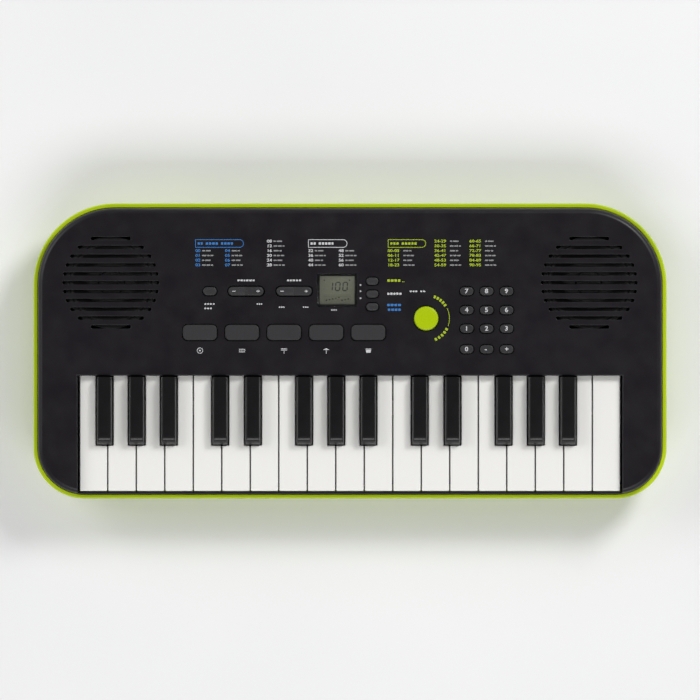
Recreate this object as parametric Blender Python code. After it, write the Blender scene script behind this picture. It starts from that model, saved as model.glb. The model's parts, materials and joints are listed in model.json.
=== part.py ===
"""Battery-powered mini keyboard with 32 small keys, built as an assembly of separate parts.

Axes: +X to the player's right, +Y to the rear, +Z up. The origin is the centre of the
footprint, on the surface that the feet stand on. Dimensions are in millimetres, and the
mesh builders turn them into metres.
"""

import math

import bmesh
import bpy
from mathutils import Vector

MM = 0.001
GAP = 0.3  # clearance between neighbouring parts
CUT_MARGIN = 5.0  # how far a cutter reaches past what it cuts
SHARP_ANGLE = math.radians(35)  # edges that turn more than this are shaded as sharp

# Housing
LENGTH, DEPTH = 446.0, 208.0
REAR_CORNER_R, FRONT_CORNER_R = 57.7, 36.0
REAR_CORNER_STEPS, FRONT_CORNER_STEPS = 9, 7
BASE_Z = 2.5  # underside of the bottom case
FLOOR_Z = 4.8  # top of the bottom case's floor
LEDGE_Z = 32.7  # where the top case stands in the bottom case
RIM_Z = 34.5  # top of the coloured rim
PANEL_Z, PANEL_UNDERSIDE_Z = 48.0, 45.5
RIM_WIDTH = 2.5
WALL_INNER_INSET = 5.0  # inner face of both cases at the parting line

# Keyboard
KEY_PITCH = 20.04
NATURALS = "FGABCDEFGABCDEFGABC"
LOWEST_OCTAVE = 3
SHARP_OFFSETS = {"C": -1.1, "D": 1.9, "F": -2.2, "G": 0.4, "A": 2.9}
KEY_GAP = 0.9  # between two naturals
SHARP_GAP = 0.6  # between a sharp and the naturals beside it
SHARP_HALF_WIDTH = 5.65
KEY_FRONT_Y, KEY_REAR_Y, STEM_REAR_Y = -98.4, -16.0, 9.6
SHARP_FRONT_Y, SHARP_REAR_Y = -65.9, -18.2
NATURAL_TOP_Z, SHARP_TOP_Z = 43.0, 51.0
SKIRT_Z, FRONT_SKIRT_Z = 33.0, 31.0
STEM_TOP_Z = 38.5
STEM_STEP = 1.0  # how far a stem is set back from the key's side
KEY_WALL = 1.5
NATURAL_CROWN = 2.0  # thickness under a natural's playing surface
FRONT_BEVEL = 0.9  # bevel along a natural's front top edge
SHARP_TAPER_Z = 43.4  # a sharp's sides are upright below this, and lean in above it
SHARP_SHOULDER_STEP, SHARP_TOP_STEP = 0.9, 1.6  # how far its shoulder and its top are set in
SHARP_INNER_HALF, SHARP_INNER_TOP_Z = 3.9, 48.0
RIB_Y, RIB_HALF = -40.0, 1.0  # the cross rib that presses the contact dome
PIVOT_Y, PIVOT_Z = 6.0, 35.5
ROD_R, SADDLE_R = 1.5, 1.8
KEYBED_HALF = KEY_PITCH * len(NATURALS) / 2

# Key opening in the top case
OPENING_HALF_X = 191.4
OPENING_FRONT_Y, OPENING_REAR_Y = -99.2, -17.4
LIP_Z = 37.0
CHEEK_WALL = 2.0

# Key mechanism
CHASSIS_Z, CHASSIS_THICK = 23.9, 2.0
CHASSIS_FRONT_Y, CHASSIS_REAR_Y = -94.0, 12.0
CHASSIS_HALF_X = 193.6
BRACKET_TOP_Z = 39.0
CONTACT_STRIP_HALF_X = 188.0
DOME_BASE_R, DOME_TOP_R, DOME_SIDES = 4.2, 2.6, 8

# Controls
HOLE_CLEARANCE, ROCKER_CLEARANCE = 0.4, 0.7
CAP_BEVEL = 0.5
ROUND_CAP_RISE = 0.4  # how far the round button stands above the other caps
CAP_TOP_Z = 49.4
FLANGE_TOP_Z, FLANGE_THICK, FLANGE_WIDTH = PANEL_UNDERSIDE_Z - GAP, 1.4, 1.5
PLUNGER_BOTTOM_Z, PLUNGER_R = 42.8, 1.6
ROUND_BUTTON_AT, ROUND_BUTTON_R = (53.5, 22.9), 8.5
PAD_XS, PAD_Y, PAD_SIZE, PAD_R = (-105.4, -75.8, -46.3, -16.7, 12.9), 13.0, (24.0, 11.0), 3.5
POWER_AT, SMALL_SIZE = (-98.4, 42.0), (9.6, 6.0)
ROCKER_XS, ROCKER_Y, ROCKER_SIZE = {"volume": -73.05, "tempo": -39.25}, 42.0, (25.0, 6.4)
ROCKER_FLANGE_TOP_Z, ROCKER_FLANGE_THICK = 44.0, 1.1
ROCKER_PIVOT_Z = 43.6
MODE_X, MODE_YS = 15.7, {"tone": 49.0, "rhythm": 40.0, "song": 31.0}
MODE_SIZE = (8.6, 5.4)
KEYPAD_XS, KEYPAD_YS = (82.0, 96.0, 110.0), (42.0, 28.7, 15.7, 1.2)
KEYPAD_SHEET = ((75.5, -4.5), (116.5, 48.0))
BOARD_Z, BOARD_THICK = 40.0, 1.4
BOARD_LOW, BOARD_HIGH = (-120.0, -6.0), (122.0, 60.0)

# Display
DISPLAY_LOW, DISPLAY_HIGH = (-23.0, 31.0), (5.0, 54.5)
WINDOW_TOP_Z = 47.7

# Speakers
SPEAKER_X, SPEAKER_Y, SPEAKER_R = 168.0, 48.0, 32.5
SLOT_PITCH, SLOT_WIDTH, SLOT_FIELD_R, SLOT_COUNT = 6.2, 2.4, 34.0, 11
SPEAKER_SIDES = 24

# Battery bay
BAY_HALF_X, BAY_FRONT_Y, BAY_REAR_Y, BAY_TOP_Z = 47.0, 21.5, 80.5, 22.8
BAY_WALL = 2.2
FLANGE_RIM = 3.0  # how far the floor is thickened round the cover's recess
COVER_HALF_X, COVER_FRONT_Y, COVER_REAR_Y, COVER_THICK = 50.0, 22.0, 84.0, 2.0
COVER_CLEARANCE = 0.5
COVER_AXIS_Y = COVER_FRONT_Y + 1.0
COVER_AXIS_Z = BASE_Z + COVER_THICK / 2
RECESS_Z = COVER_AXIS_Z + 1.6
TONGUE_XS, TONGUE_HALF, TONGUE_REACH, TONGUE_THICK = (-30.0, 30.0), 5.0, 3.4, 1.2
SNAP_HALF, SNAP_SLIT, SNAP_LENGTH = 8.0, 1.2, 14.0
CELL_PITCH = 14.8

# Sockets in the rear wall
SOCKET_Z, SOCKET_FACE_Y, SOCKET_NECK_Y, SOCKET_REAR_Y = 20.0, 101.4, 96.8, 86.0
SOCKET_NECK_R, SOCKET_WALL_R = 3.8, 4.2
HEADPHONE_X, DC_X = -95.0, -70.0

# Feet and screw wells under the bottom case
FEET = [(-180.0, -76.0), (180.0, -76.0), (-172.0, 66.0), (172.0, 66.0)]
FOOT_R = 8.0
SCREW_WELLS = [
    (-130.0, -64.0),
    (0.0, -64.0),
    (130.0, -64.0),
    (-188.0, -12.0),
    (188.0, -12.0),
    (-82.0, 70.0),
    (82.0, 70.0),
]
WELL_R, WELL_WALL_R, WELL_TOP_Z, WELL_ROOF = 3.4, 5.2, 12.0, 2.0


# ---------------------------------------------------------------- materials


def make_material(name, colour, roughness, metallic=0.0, alpha=1.0):
    material = bpy.data.materials.new(name)
    material.use_nodes = True
    shader = material.node_tree.nodes["Principled BSDF"]
    shader.inputs["Base Color"].default_value = (*colour, 1.0)
    shader.inputs["Roughness"].default_value = roughness
    shader.inputs["Metallic"].default_value = metallic
    shader.inputs["Alpha"].default_value = alpha
    material.diffuse_color = (*colour, alpha)
    return material


def make_materials():
    return {
        "case_black": make_material("case_black", (0.012, 0.011, 0.014), 0.38),
        "case_lime": make_material("case_lime", (0.38, 0.52, 0.01), 0.42),
        "key_white": make_material("key_white", (0.83, 0.82, 0.79), 0.22),
        "key_black": make_material("key_black", (0.01, 0.01, 0.011), 0.3),
        "button_lime": make_material("button_lime", (0.39, 0.53, 0.004), 0.35),
        "button_grey": make_material("button_grey", (0.035, 0.035, 0.038), 0.55),
        "pad_rubber": make_material("pad_rubber", (0.03, 0.03, 0.032), 0.7),
        "window_clear": make_material("window_clear", (0.2, 0.21, 0.2), 0.08, alpha=0.35),
        "display_glass": make_material("display_glass", (0.27, 0.29, 0.16), 0.2),
        "circuit_board": make_material("circuit_board", (0.03, 0.12, 0.05), 0.45),
        "contact_rubber": make_material("contact_rubber", (0.45, 0.45, 0.43), 0.7),
        "chassis_plastic": make_material("chassis_plastic", (0.05, 0.05, 0.052), 0.55),
        "steel": make_material("steel", (0.6, 0.6, 0.61), 0.3, metallic=1.0),
        "speaker_metal": make_material("speaker_metal", (0.03, 0.03, 0.032), 0.6),
        "socket_plastic": make_material("socket_plastic", (0.02, 0.02, 0.022), 0.5),
    }


# ------------------------------------------------------------ mesh builders


def add_loft(bm, rings):
    """Adds one closed body through rings of equal length, with a cap on each end."""
    loops = [[bm.verts.new(Vector(point) * MM) for point in ring] for ring in rings]
    for near, far in zip(loops, loops[1:]):
        for i in range(len(near)):
            j = (i + 1) % len(near)
            bm.faces.new((near[i], near[j], far[j], far[i]))
    bm.faces.new(loops[0])
    bm.faces.new(loops[-1])


def add_prism(bm, outline, z_low, z_high):
    """Adds an upright prism on an (x, y) outline."""
    add_loft(bm, [[(x, y, z) for x, y in outline] for z in (z_low, z_high)])


def add_side_profile(bm, profile, x_low, x_high):
    """Adds a bar along X whose section is a (y, z) profile."""
    add_loft(bm, [[(x, y, z) for y, z in profile] for x in (x_low, x_high)])


def add_box(bm, low, high):
    add_prism(bm, rectangle((low[0], low[1]), (high[0], high[1])), low[2], high[2])


def add_cylinder(bm, centre, radius, low, high, steps, axis="Z"):
    """Adds a cylinder on (x, y) along Z, or on (y, z) along X, or on (x, z) along Y."""
    section = circle(centre, radius, steps)
    if axis == "Z":
        add_prism(bm, section, low, high)
    elif axis == "X":
        add_side_profile(bm, section, low, high)
    else:
        add_loft(bm, [[(x, y, z) for x, z in section] for y in (low, high)])


def rectangle(low, high):
    return [(low[0], low[1]), (high[0], low[1]), (high[0], high[1]), (low[0], high[1])]


def circle(centre, radius, steps):
    angles = [2 * math.pi * i / steps for i in range(steps)]
    return [(centre[0] + radius * math.cos(a), centre[1] + radius * math.sin(a)) for a in angles]


def arc(centre, radius, start, end, steps):
    angles = [math.radians(start + (end - start) * i / steps) for i in range(steps + 1)]
    return [(centre[0] + radius * math.cos(a), centre[1] + radius * math.sin(a)) for a in angles]


def rounded_rectangle(centre, size, radius, steps=4):
    """A rectangle with round corners, which is a capsule when the radius is half its width."""
    reach_x, reach_y = size[0] / 2 - radius, size[1] / 2 - radius
    points = []
    for side_x, side_y, start in ((1, 1, 0), (-1, 1, 90), (-1, -1, 180), (1, -1, 270)):
        corner = (centre[0] + side_x * reach_x, centre[1] + side_y * reach_y)
        points += arc(corner, radius, start, start + 90, steps)
    return [p for i, p in enumerate(points) if math.dist(p, points[i - 1]) > 1e-6]


def case_outline(inset):
    """The housing's plan outline, moved inwards by inset."""
    half_x, half_y = LENGTH / 2 - inset, DEPTH / 2 - inset
    rear, front = REAR_CORNER_R - inset, FRONT_CORNER_R - inset
    points = []
    points += arc((half_x - rear, half_y - rear), rear, 0, 90, REAR_CORNER_STEPS)
    points += arc((rear - half_x, half_y - rear), rear, 90, 180, REAR_CORNER_STEPS)
    points += arc((front - half_x, front - half_y), front, 180, 270, FRONT_CORNER_STEPS)
    points += arc((half_x - front, front - half_y), front, 270, 360, FRONT_CORNER_STEPS)
    return points


def case_ring(inset, z):
    return [(x, y, z) for x, y in case_outline(inset)]


def finish_mesh(name, bm):
    bmesh.ops.recalc_face_normals(bm, faces=bm.faces)
    mesh = bpy.data.meshes.new(name)
    bm.to_mesh(mesh)
    bm.free()
    return mesh


def combine(name, mesh, *steps):
    """The mesh after a chain of Booleans, each an (operation, other mesh) pair."""
    collection = bpy.context.scene.collection
    body = bpy.data.objects.new(name, mesh)
    collection.objects.link(body)
    others = []
    for operation, other_mesh in steps:
        other = bpy.data.objects.new(name + "_tool", other_mesh)
        collection.objects.link(other)
        others.append(other)
        boolean = body.modifiers.new(operation, "BOOLEAN")
        boolean.operation = operation
        boolean.solver = "EXACT"
        boolean.object = other
    bpy.context.view_layer.update()
    evaluated = body.evaluated_get(bpy.context.evaluated_depsgraph_get())
    result = bpy.data.meshes.new_from_object(evaluated)
    for temporary in [body, *others]:
        bpy.data.objects.remove(temporary)
    result.name = name
    return result


def place(name, mesh, material, location=(0.0, 0.0, 0.0), parent=None):
    """Puts a mesh in the scene as the named sub-part, with its origin at location."""
    mesh.materials.clear()
    mesh.materials.append(material)
    mesh.shade_smooth()
    mesh.set_sharp_from_angle(angle=SHARP_ANGLE)
    piece = bpy.data.objects.new(name, mesh)
    piece.location = Vector(location) * MM
    piece.parent = parent
    bpy.context.scene.collection.objects.link(piece)
    return piece


# ------------------------------------------------------------------ housing


def top_case_shell():
    """A thin cup, open below: the flat panel with its rounded edge and side walls."""
    bm = bmesh.new()
    add_loft(
        bm,
        [
            case_ring(7.0, PANEL_UNDERSIDE_Z),
            case_ring(WALL_INNER_INSET, LEDGE_Z + GAP),
            case_ring(RIM_WIDTH + GAP, LEDGE_Z + GAP),
            case_ring(3.6, 44.4),
            case_ring(4.6, 46.8),
            case_ring(7.2, PANEL_Z),
        ],
    )
    return finish_mesh("top_case_shell", bm)


def cheek_walls():
    """The inner walls of the two end blocks beside the keys."""
    bm = bmesh.new()
    for side in (-1, 1):
        xs = sorted((side * (OPENING_HALF_X - 0.5), side * (OPENING_HALF_X + CHEEK_WALL)))
        add_box(
            bm,
            (xs[0], OPENING_FRONT_Y - 0.8, LEDGE_Z + GAP + 1.0),
            (xs[1], OPENING_REAR_Y - 0.4, PANEL_UNDERSIDE_Z + 1.1),
        )
    return finish_mesh("cheek_walls", bm)


def key_opening():
    """The gap that the keys stand in, with the low lip left standing along the front."""
    low, high, outside = LEDGE_Z - CUT_MARGIN, PANEL_Z + CUT_MARGIN, -DEPTH / 2 - CUT_MARGIN
    profile = [
        (outside, high),
        (outside, LIP_Z),
        (OPENING_FRONT_Y, LIP_Z),
        (OPENING_FRONT_Y, low),
        (OPENING_REAR_Y, low),
        (OPENING_REAR_Y, high),
    ]
    bm = bmesh.new()
    add_side_profile(bm, profile, -OPENING_HALF_X, OPENING_HALF_X)
    return finish_mesh("key_opening", bm)


def slot_outlines():
    """The speaker slots: rows of rounded slots that fill a circle over each speaker."""
    outlines = []
    for side in (-1, 1):
        for row in range(SLOT_COUNT):
            offset = (row - (SLOT_COUNT - 1) / 2) * SLOT_PITCH
            half = math.sqrt(SLOT_FIELD_R**2 - offset**2)
            centre = (side * SPEAKER_X, SPEAKER_Y + offset)
            outlines.append(
                rounded_rectangle(centre, (2 * half, SLOT_WIDTH), SLOT_WIDTH / 2, steps=2)
            )
    return outlines


def grown(size, by):
    return size[0] + 2 * by, size[1] + 2 * by


def panel_holes():
    """Every hole through the panel: controls, display and speaker slots."""
    clear = HOLE_CLEARANCE
    outlines = [circle(ROUND_BUTTON_AT, ROUND_BUTTON_R + clear, 24)]
    for x in PAD_XS:
        outlines.append(rounded_rectangle((x, PAD_Y), grown(PAD_SIZE, clear), PAD_R + clear, 3))
    capsules = [(POWER_AT, SMALL_SIZE)]
    capsules += [((MODE_X, y), MODE_SIZE) for y in MODE_YS.values()]
    capsules += [((x, y), SMALL_SIZE) for x in KEYPAD_XS for y in KEYPAD_YS]
    for centre, size in capsules:
        outlines.append(rounded_rectangle(centre, grown(size, clear), size[1] / 2 + clear, 3))
    for x in ROCKER_XS.values():
        size = grown(ROCKER_SIZE, ROCKER_CLEARANCE)
        outlines.append(rounded_rectangle((x, ROCKER_Y), size, size[1] / 2, 3))
    outlines.append(rectangle(DISPLAY_LOW, DISPLAY_HIGH))
    outlines += slot_outlines()
    bm = bmesh.new()
    for outline in outlines:
        add_prism(bm, outline, PANEL_UNDERSIDE_Z - CUT_MARGIN, PANEL_Z + CUT_MARGIN)
    return finish_mesh("panel_holes", bm)


def make_top_case(material):
    mesh = combine(
        "top_case",
        top_case_shell(),
        ("UNION", cheek_walls()),
        ("DIFFERENCE", key_opening()),
        ("DIFFERENCE", panel_holes()),
    )
    place("top_case", mesh, material)


def bottom_case_shell():
    """The coloured tub: rim, ledge for the top case, and sides that curve in to the base."""
    bm = bmesh.new()
    add_loft(
        bm,
        [
            case_ring(17.5, FLOOR_Z),
            case_ring(12.4, 7.0),
            case_ring(8.4, 11.0),
            case_ring(5.0, 18.0),
            case_ring(3.2, 26.0),
            case_ring(WALL_INNER_INSET, 29.5),
            case_ring(WALL_INNER_INSET, LEDGE_Z),
            case_ring(RIM_WIDTH, LEDGE_Z),
            case_ring(RIM_WIDTH, RIM_Z),
            case_ring(0.7, RIM_Z),
            case_ring(0.0, RIM_Z - 0.7),
            case_ring(0.2, 30.0),
            case_ring(1.0, 25.0),
            case_ring(2.7, 18.0),
            case_ring(6.2, 10.0),
            case_ring(10.2, 5.4),
            case_ring(15.0, BASE_Z),
        ],
    )
    return finish_mesh("bottom_case_shell", bm)


def bottom_case_additions():
    """The battery bay's box, and the thicker floor round the cover's recess."""
    bay = bmesh.new()
    add_box(
        bay,
        (-BAY_HALF_X - BAY_WALL, BAY_FRONT_Y - BAY_WALL, BASE_Z + 0.5),
        (BAY_HALF_X + BAY_WALL, BAY_REAR_Y + BAY_WALL, BAY_TOP_Z + BAY_WALL),
    )
    flange = bmesh.new()
    edge = COVER_CLEARANCE + FLANGE_RIM
    add_box(
        flange,
        (-COVER_HALF_X - edge, COVER_FRONT_Y - edge, BASE_Z + 0.7),
        (COVER_HALF_X + edge, COVER_REAR_Y + edge, RECESS_Z + BAY_WALL + 0.1),
    )
    return finish_mesh("bay_block", bay), finish_mesh("bay_flange", flange)


def bottom_case_posts():
    """The feet and the posts around the screw wells."""
    bm = bmesh.new()
    for x, y in FEET:
        add_cylinder(bm, (x, y), FOOT_R, 0.0, BASE_Z + 1.0, 20)
    for x, y in SCREW_WELLS:
        add_cylinder(bm, (x, y), WELL_WALL_R, BASE_Z + 0.8, WELL_TOP_Z, 12)
    return finish_mesh("posts", bm)


def bottom_case_cuts():
    """The bay, the cover's recess with its tongue pockets, screw wells and socket holes."""
    bay = bmesh.new()
    add_box(bay, (-BAY_HALF_X, BAY_FRONT_Y, RECESS_Z - 1.0), (BAY_HALF_X, BAY_REAR_Y, BAY_TOP_Z))
    recess = bmesh.new()
    add_box(
        recess,
        (-COVER_HALF_X - COVER_CLEARANCE, COVER_FRONT_Y - COVER_CLEARANCE - 0.05, 0.0),
        (COVER_HALF_X + COVER_CLEARANCE, COVER_REAR_Y + COVER_CLEARANCE, RECESS_Z),
    )
    details = bmesh.new()
    for x in TONGUE_XS:
        reach = TONGUE_REACH + 0.5
        add_box(
            details,
            (x - TONGUE_HALF - 0.4, COVER_AXIS_Y - reach, COVER_AXIS_Z - TONGUE_THICK / 2 - 0.3),
            (x + TONGUE_HALF + 0.4, COVER_AXIS_Y + 1.0, COVER_AXIS_Z + reach),
        )
    for x, y in SCREW_WELLS:
        add_cylinder(details, (x, y), WELL_R, 0.0, WELL_TOP_Z - WELL_ROOF, 12)
    for x in (HEADPHONE_X, DC_X):
        ends = (SOCKET_FACE_Y - 2 * CUT_MARGIN, SOCKET_FACE_Y + CUT_MARGIN)
        add_cylinder(details, (x, SOCKET_Z), SOCKET_WALL_R, *ends, 16, axis="Y")
    return [
        finish_mesh("bay_hollow", bay),
        finish_mesh("cover_recess", recess),
        finish_mesh("details", details),
    ]


def make_bottom_case(material):
    bay, flange = bottom_case_additions()
    steps = [("UNION", bay), ("UNION", flange), ("UNION", bottom_case_posts())]
    steps += [("DIFFERENCE", cut) for cut in bottom_case_cuts()]
    place("bottom_case", combine("bottom_case", bottom_case_shell(), *steps), material)


def make_battery_cover(material):
    """The cover swings on two tongues at its front edge. Its origin is on that axis."""
    front, rear = COVER_FRONT_Y - COVER_AXIS_Y, COVER_REAR_Y - COVER_AXIS_Y
    half_thick = COVER_THICK / 2
    plate = bmesh.new()
    add_box(plate, (-COVER_HALF_X, front, -half_thick), (COVER_HALF_X, rear, half_thick))
    extras = bmesh.new()
    for x in TONGUE_XS:
        add_box(
            extras,
            (x - TONGUE_HALF, -TONGUE_REACH, -TONGUE_THICK / 2),
            (x + TONGUE_HALF, 2.0, TONGUE_THICK / 2),
        )
    # Two slits free the snap tab at the rear edge
    cuts = bmesh.new()
    for side in (-1, 1):
        xs = sorted((side * SNAP_HALF, side * (SNAP_HALF + SNAP_SLIT)))
        add_box(
            cuts,
            (xs[0], rear - SNAP_LENGTH, -CUT_MARGIN),
            (xs[1], rear + CUT_MARGIN, CUT_MARGIN),
        )
    mesh = combine(
        "battery_cover",
        finish_mesh("cover_plate", plate),
        ("UNION", finish_mesh("cover_tongues", extras)),
        ("DIFFERENCE", finish_mesh("cover_slits", cuts)),
    )
    place("battery_cover", mesh, material, (0.0, COVER_AXIS_Y, COVER_AXIS_Z))


def make_battery_contacts(material):
    """The spring strip on the bay's rear wall, with a pressed cone for each cell."""
    strip_y, thick = BAY_REAR_Y - GAP - 0.8, 0.8
    bm = bmesh.new()
    add_box(bm, (-44.0, strip_y, 8.0), (44.0, strip_y + thick, 20.5))
    cones = bmesh.new()
    for cell in range(6):
        centre = ((cell - 2.5) * CELL_PITCH, 14.2)
        rings = [(4.5, strip_y + 0.3), (1.5, strip_y - 2.6)]
        add_loft(cones, [[(x, y, z) for x, z in circle(centre, r, 8)] for r, y in rings])
    mesh = combine(
        "battery_contacts",
        finish_mesh("contact_strip", bm),
        ("UNION", finish_mesh("contact_cones", cones)),
    )
    place("battery_contacts", mesh, material)


# --------------------------------------------------------------------- keys


def key_list():
    """Every key from left to right, as (name, kind, x, neck).

    A natural's x is the left edge of its cell, and its neck is the left and right edge of the
    part between the sharps, counted from x. A sharp's x is its middle, and it has no neck.
    """
    keys, octave = [], LOWEST_OCTAVE
    for index, letter in enumerate(NATURALS):
        octave += letter == "C"
        cell = index * KEY_PITCH - KEYBED_HALF
        before = SHARP_OFFSETS.get(NATURALS[index - 1]) if index else None
        after = SHARP_OFFSETS.get(letter) if index < len(NATURALS) - 1 else None
        reach = SHARP_HALF_WIDTH + SHARP_GAP
        left = KEY_GAP / 2 if before is None else before + reach
        right = KEY_PITCH - (KEY_GAP / 2 if after is None else reach - after)
        name = f"key_{letter.lower()}{octave}"
        keys.append((name, "natural", cell, (left, right)))
        if after is not None:
            keys.append((name + "_sharp", "sharp", cell + KEY_PITCH + after, None))
    return keys


def saddle_mesh(x_low, x_high):
    """The notch that sits over the pivot rod, open at the bottom."""
    upper = arc((0.0, 0.0), SADDLE_R, 0, 180, 6)
    bm = bmesh.new()
    add_side_profile(bm, [(SADDLE_R, -8.0), *upper, (-SADDLE_R, -8.0)], x_low, x_high)
    return finish_mesh("saddle", bm)


def natural_mesh(neck):
    """A hollow natural. Its origin is on the pivot axis, at the left edge of its cell."""
    left, right = KEY_GAP / 2, KEY_PITCH - KEY_GAP / 2
    front, rear, stem_rear = (y - PIVOT_Y for y in (KEY_FRONT_Y, KEY_REAR_Y, STEM_REAR_Y))
    notch, rib = SHARP_FRONT_Y - SHARP_GAP - PIVOT_Y, RIB_Y - PIVOT_Y
    top, stem_top = NATURAL_TOP_Z - PIVOT_Z, STEM_TOP_Z - PIVOT_Z
    skirt, front_skirt = SKIRT_Z - PIVOT_Z, FRONT_SKIRT_Z - PIVOT_Z
    profile = [
        (front, front_skirt),
        (front, top - FRONT_BEVEL),
        (front + FRONT_BEVEL, top),
        (rear, top),
        (rear, stem_top),
        (stem_rear, stem_top),
        (stem_rear, skirt),
        (front + KEY_WALL, skirt),
        (front + KEY_WALL, front_skirt),
    ]
    bar = bmesh.new()
    add_side_profile(bar, profile, left, right)

    cuts = bmesh.new()
    low, high = front_skirt - CUT_MARGIN, top + CUT_MARGIN
    for side, edge, neck_x in ((-1, left, neck[0]), (1, right, neck[1])):
        outer, stem_x = edge + side * CUT_MARGIN, neck_x - side * STEM_STEP
        outline = [(stem_x, rear), (stem_x, stem_rear + CUT_MARGIN), (outer, stem_rear + CUT_MARGIN)]
        if abs(neck_x - edge) > 0.01:
            outline += [(outer, notch), (neck_x, notch), (neck_x, rear)]
        else:
            outline += [(outer, rear)]
        add_prism(cuts, outline, low, high)
    inner_top = top - NATURAL_CROWN
    neck_low, neck_high = neck[0] + KEY_WALL, neck[1] - KEY_WALL
    add_box(
        cuts,
        (left + KEY_WALL, front + KEY_WALL, low),
        (right - KEY_WALL, notch - 2.0, inner_top),
    )
    add_box(cuts, (neck_low, notch - 0.4, low), (neck_high, rib - RIB_HALF, inner_top))
    add_box(cuts, (neck_low, rib + RIB_HALF, low), (neck_high, rear - 2.0, inner_top))
    return combine(
        "natural",
        finish_mesh("bar", bar),
        ("DIFFERENCE", saddle_mesh(-CUT_MARGIN, KEY_PITCH + CUT_MARGIN)),
        ("DIFFERENCE", finish_mesh("cuts", cuts)),
    )


def sharp_ring(y, top, shoulder):
    """A section through a sharp: straight below, tapered sides, and chamfered top edges."""
    half = SHARP_HALF_WIDTH
    points = [
        (half, SKIRT_Z),
        (half, SHARP_TAPER_Z),
        (half - SHARP_SHOULDER_STEP, shoulder),
        (half - SHARP_TOP_STEP, top),
    ]
    outline = points + [(-x, z) for x, z in reversed(points)]
    return [(x, y - PIVOT_Y, z - PIVOT_Z) for x, z in outline]


def sharp_mesh():
    """A hollow sharp. Its origin is on the pivot axis, at its middle."""
    block = bmesh.new()
    add_loft(
        block,
        [
            sharp_ring(SHARP_FRONT_Y, 44.6, 44.0),
            sharp_ring(SHARP_FRONT_Y + 3.0, 49.8, 48.9),
            sharp_ring(SHARP_FRONT_Y + 4.6, 50.7, 49.9),
            sharp_ring(SHARP_REAR_Y, SHARP_TOP_Z, 50.2),
        ],
    )
    half = SHARP_HALF_WIDTH - STEM_STEP
    stem = bmesh.new()
    add_box(
        stem,
        (-half, SHARP_REAR_Y - 1.2 - PIVOT_Y, SKIRT_Z + 0.2 - PIVOT_Z),
        (half, STEM_REAR_Y - PIVOT_Y, STEM_TOP_Z - PIVOT_Z),
    )
    cuts = bmesh.new()
    inner, rib = SHARP_INNER_HALF, RIB_Y - PIVOT_Y
    front, rear = SHARP_FRONT_Y + 2.2 - PIVOT_Y, SHARP_REAR_Y - 2.0 - PIVOT_Y
    low, slope_top, top = (z - PIVOT_Z for z in (SKIRT_Z - CUT_MARGIN, 44.0, SHARP_INNER_TOP_Z))
    profile = [
        (front, low),
        (front, slope_top),
        (front + 2.6, top),
        (rib - RIB_HALF, top),
        (rib - RIB_HALF, low),
    ]
    add_side_profile(cuts, profile, -inner, inner)
    add_box(cuts, (-inner, rib + RIB_HALF, low), (inner, rear, top))
    return combine(
        "sharp",
        finish_mesh("block", block),
        ("UNION", finish_mesh("stem", stem)),
        ("DIFFERENCE", saddle_mesh(-SHARP_HALF_WIDTH - CUT_MARGIN, SHARP_HALF_WIDTH + CUT_MARGIN)),
        ("DIFFERENCE", finish_mesh("hollows", cuts)),
    )


def make_keys(materials):
    """Naturals with the same neck share a mesh, and so do all the sharps."""
    axis = bpy.data.objects.new("key_axis", None)
    axis.location = Vector((0.0, PIVOT_Y, PIVOT_Z)) * MM
    bpy.context.scene.collection.objects.link(axis)
    sharp, naturals = sharp_mesh(), {}
    for name, kind, x, neck in key_list():
        if kind == "sharp":
            place(name, sharp, materials["key_black"], (x, 0.0, 0.0), axis)
            continue
        shape = tuple(round(edge, 3) for edge in neck)
        if shape not in naturals:
            naturals[shape] = natural_mesh(neck)
        place(name, naturals[shape], materials["key_white"], (x, 0.0, 0.0), axis)


# ------------------------------------------------------------ key mechanism


def rib_positions():
    """The boundaries between two naturals that have no sharp between them."""
    edges = []
    for index, letter in enumerate(NATURALS[:-1]):
        if letter not in SHARP_OFFSETS:
            edges.append((index + 1) * KEY_PITCH - KEYBED_HALF)
    return edges


def make_chassis(material):
    """The key bed: a plate on two long legs, with the brackets that carry the pivot rod."""
    top = CHASSIS_Z + CHASSIS_THICK
    plate = bmesh.new()
    add_box(
        plate,
        (-CHASSIS_HALF_X, CHASSIS_FRONT_Y, CHASSIS_Z),
        (CHASSIS_HALF_X, CHASSIS_REAR_Y, top),
    )
    uprights = bmesh.new()
    spans = [(x - 1.0, x + 1.0) for x in rib_positions()]
    spans += [(-CHASSIS_HALF_X + 0.1, 1.0 - KEYBED_HALF - 1.4)]
    spans += [(KEYBED_HALF + 0.4, CHASSIS_HALF_X - 0.1)]
    for low, high in spans:
        add_box(uprights, (low, 1.6, top - 0.5), (high, 10.4, BRACKET_TOP_Z))
    for y in (-80.0, 2.4):
        add_box(uprights, (-168.0, y, FLOOR_Z + GAP), (168.0, y + 2.0, CHASSIS_Z + 0.4))
    bore = bmesh.new()
    add_cylinder(bore, (PIVOT_Y, PIVOT_Z), SADDLE_R, -200.0, 200.0, 12, axis="X")
    mesh = combine(
        "key_chassis",
        finish_mesh("plate", plate),
        ("UNION", finish_mesh("uprights", uprights)),
        ("DIFFERENCE", finish_mesh("bore", bore)),
    )
    place("key_chassis", mesh, material)


def make_pivot_rod(material):
    bm = bmesh.new()
    add_cylinder(bm, (PIVOT_Y, PIVOT_Z), ROD_R, -194.4, 194.4, 12, axis="X")
    place("key_pivot_rod", finish_mesh("key_pivot_rod", bm), material)


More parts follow.
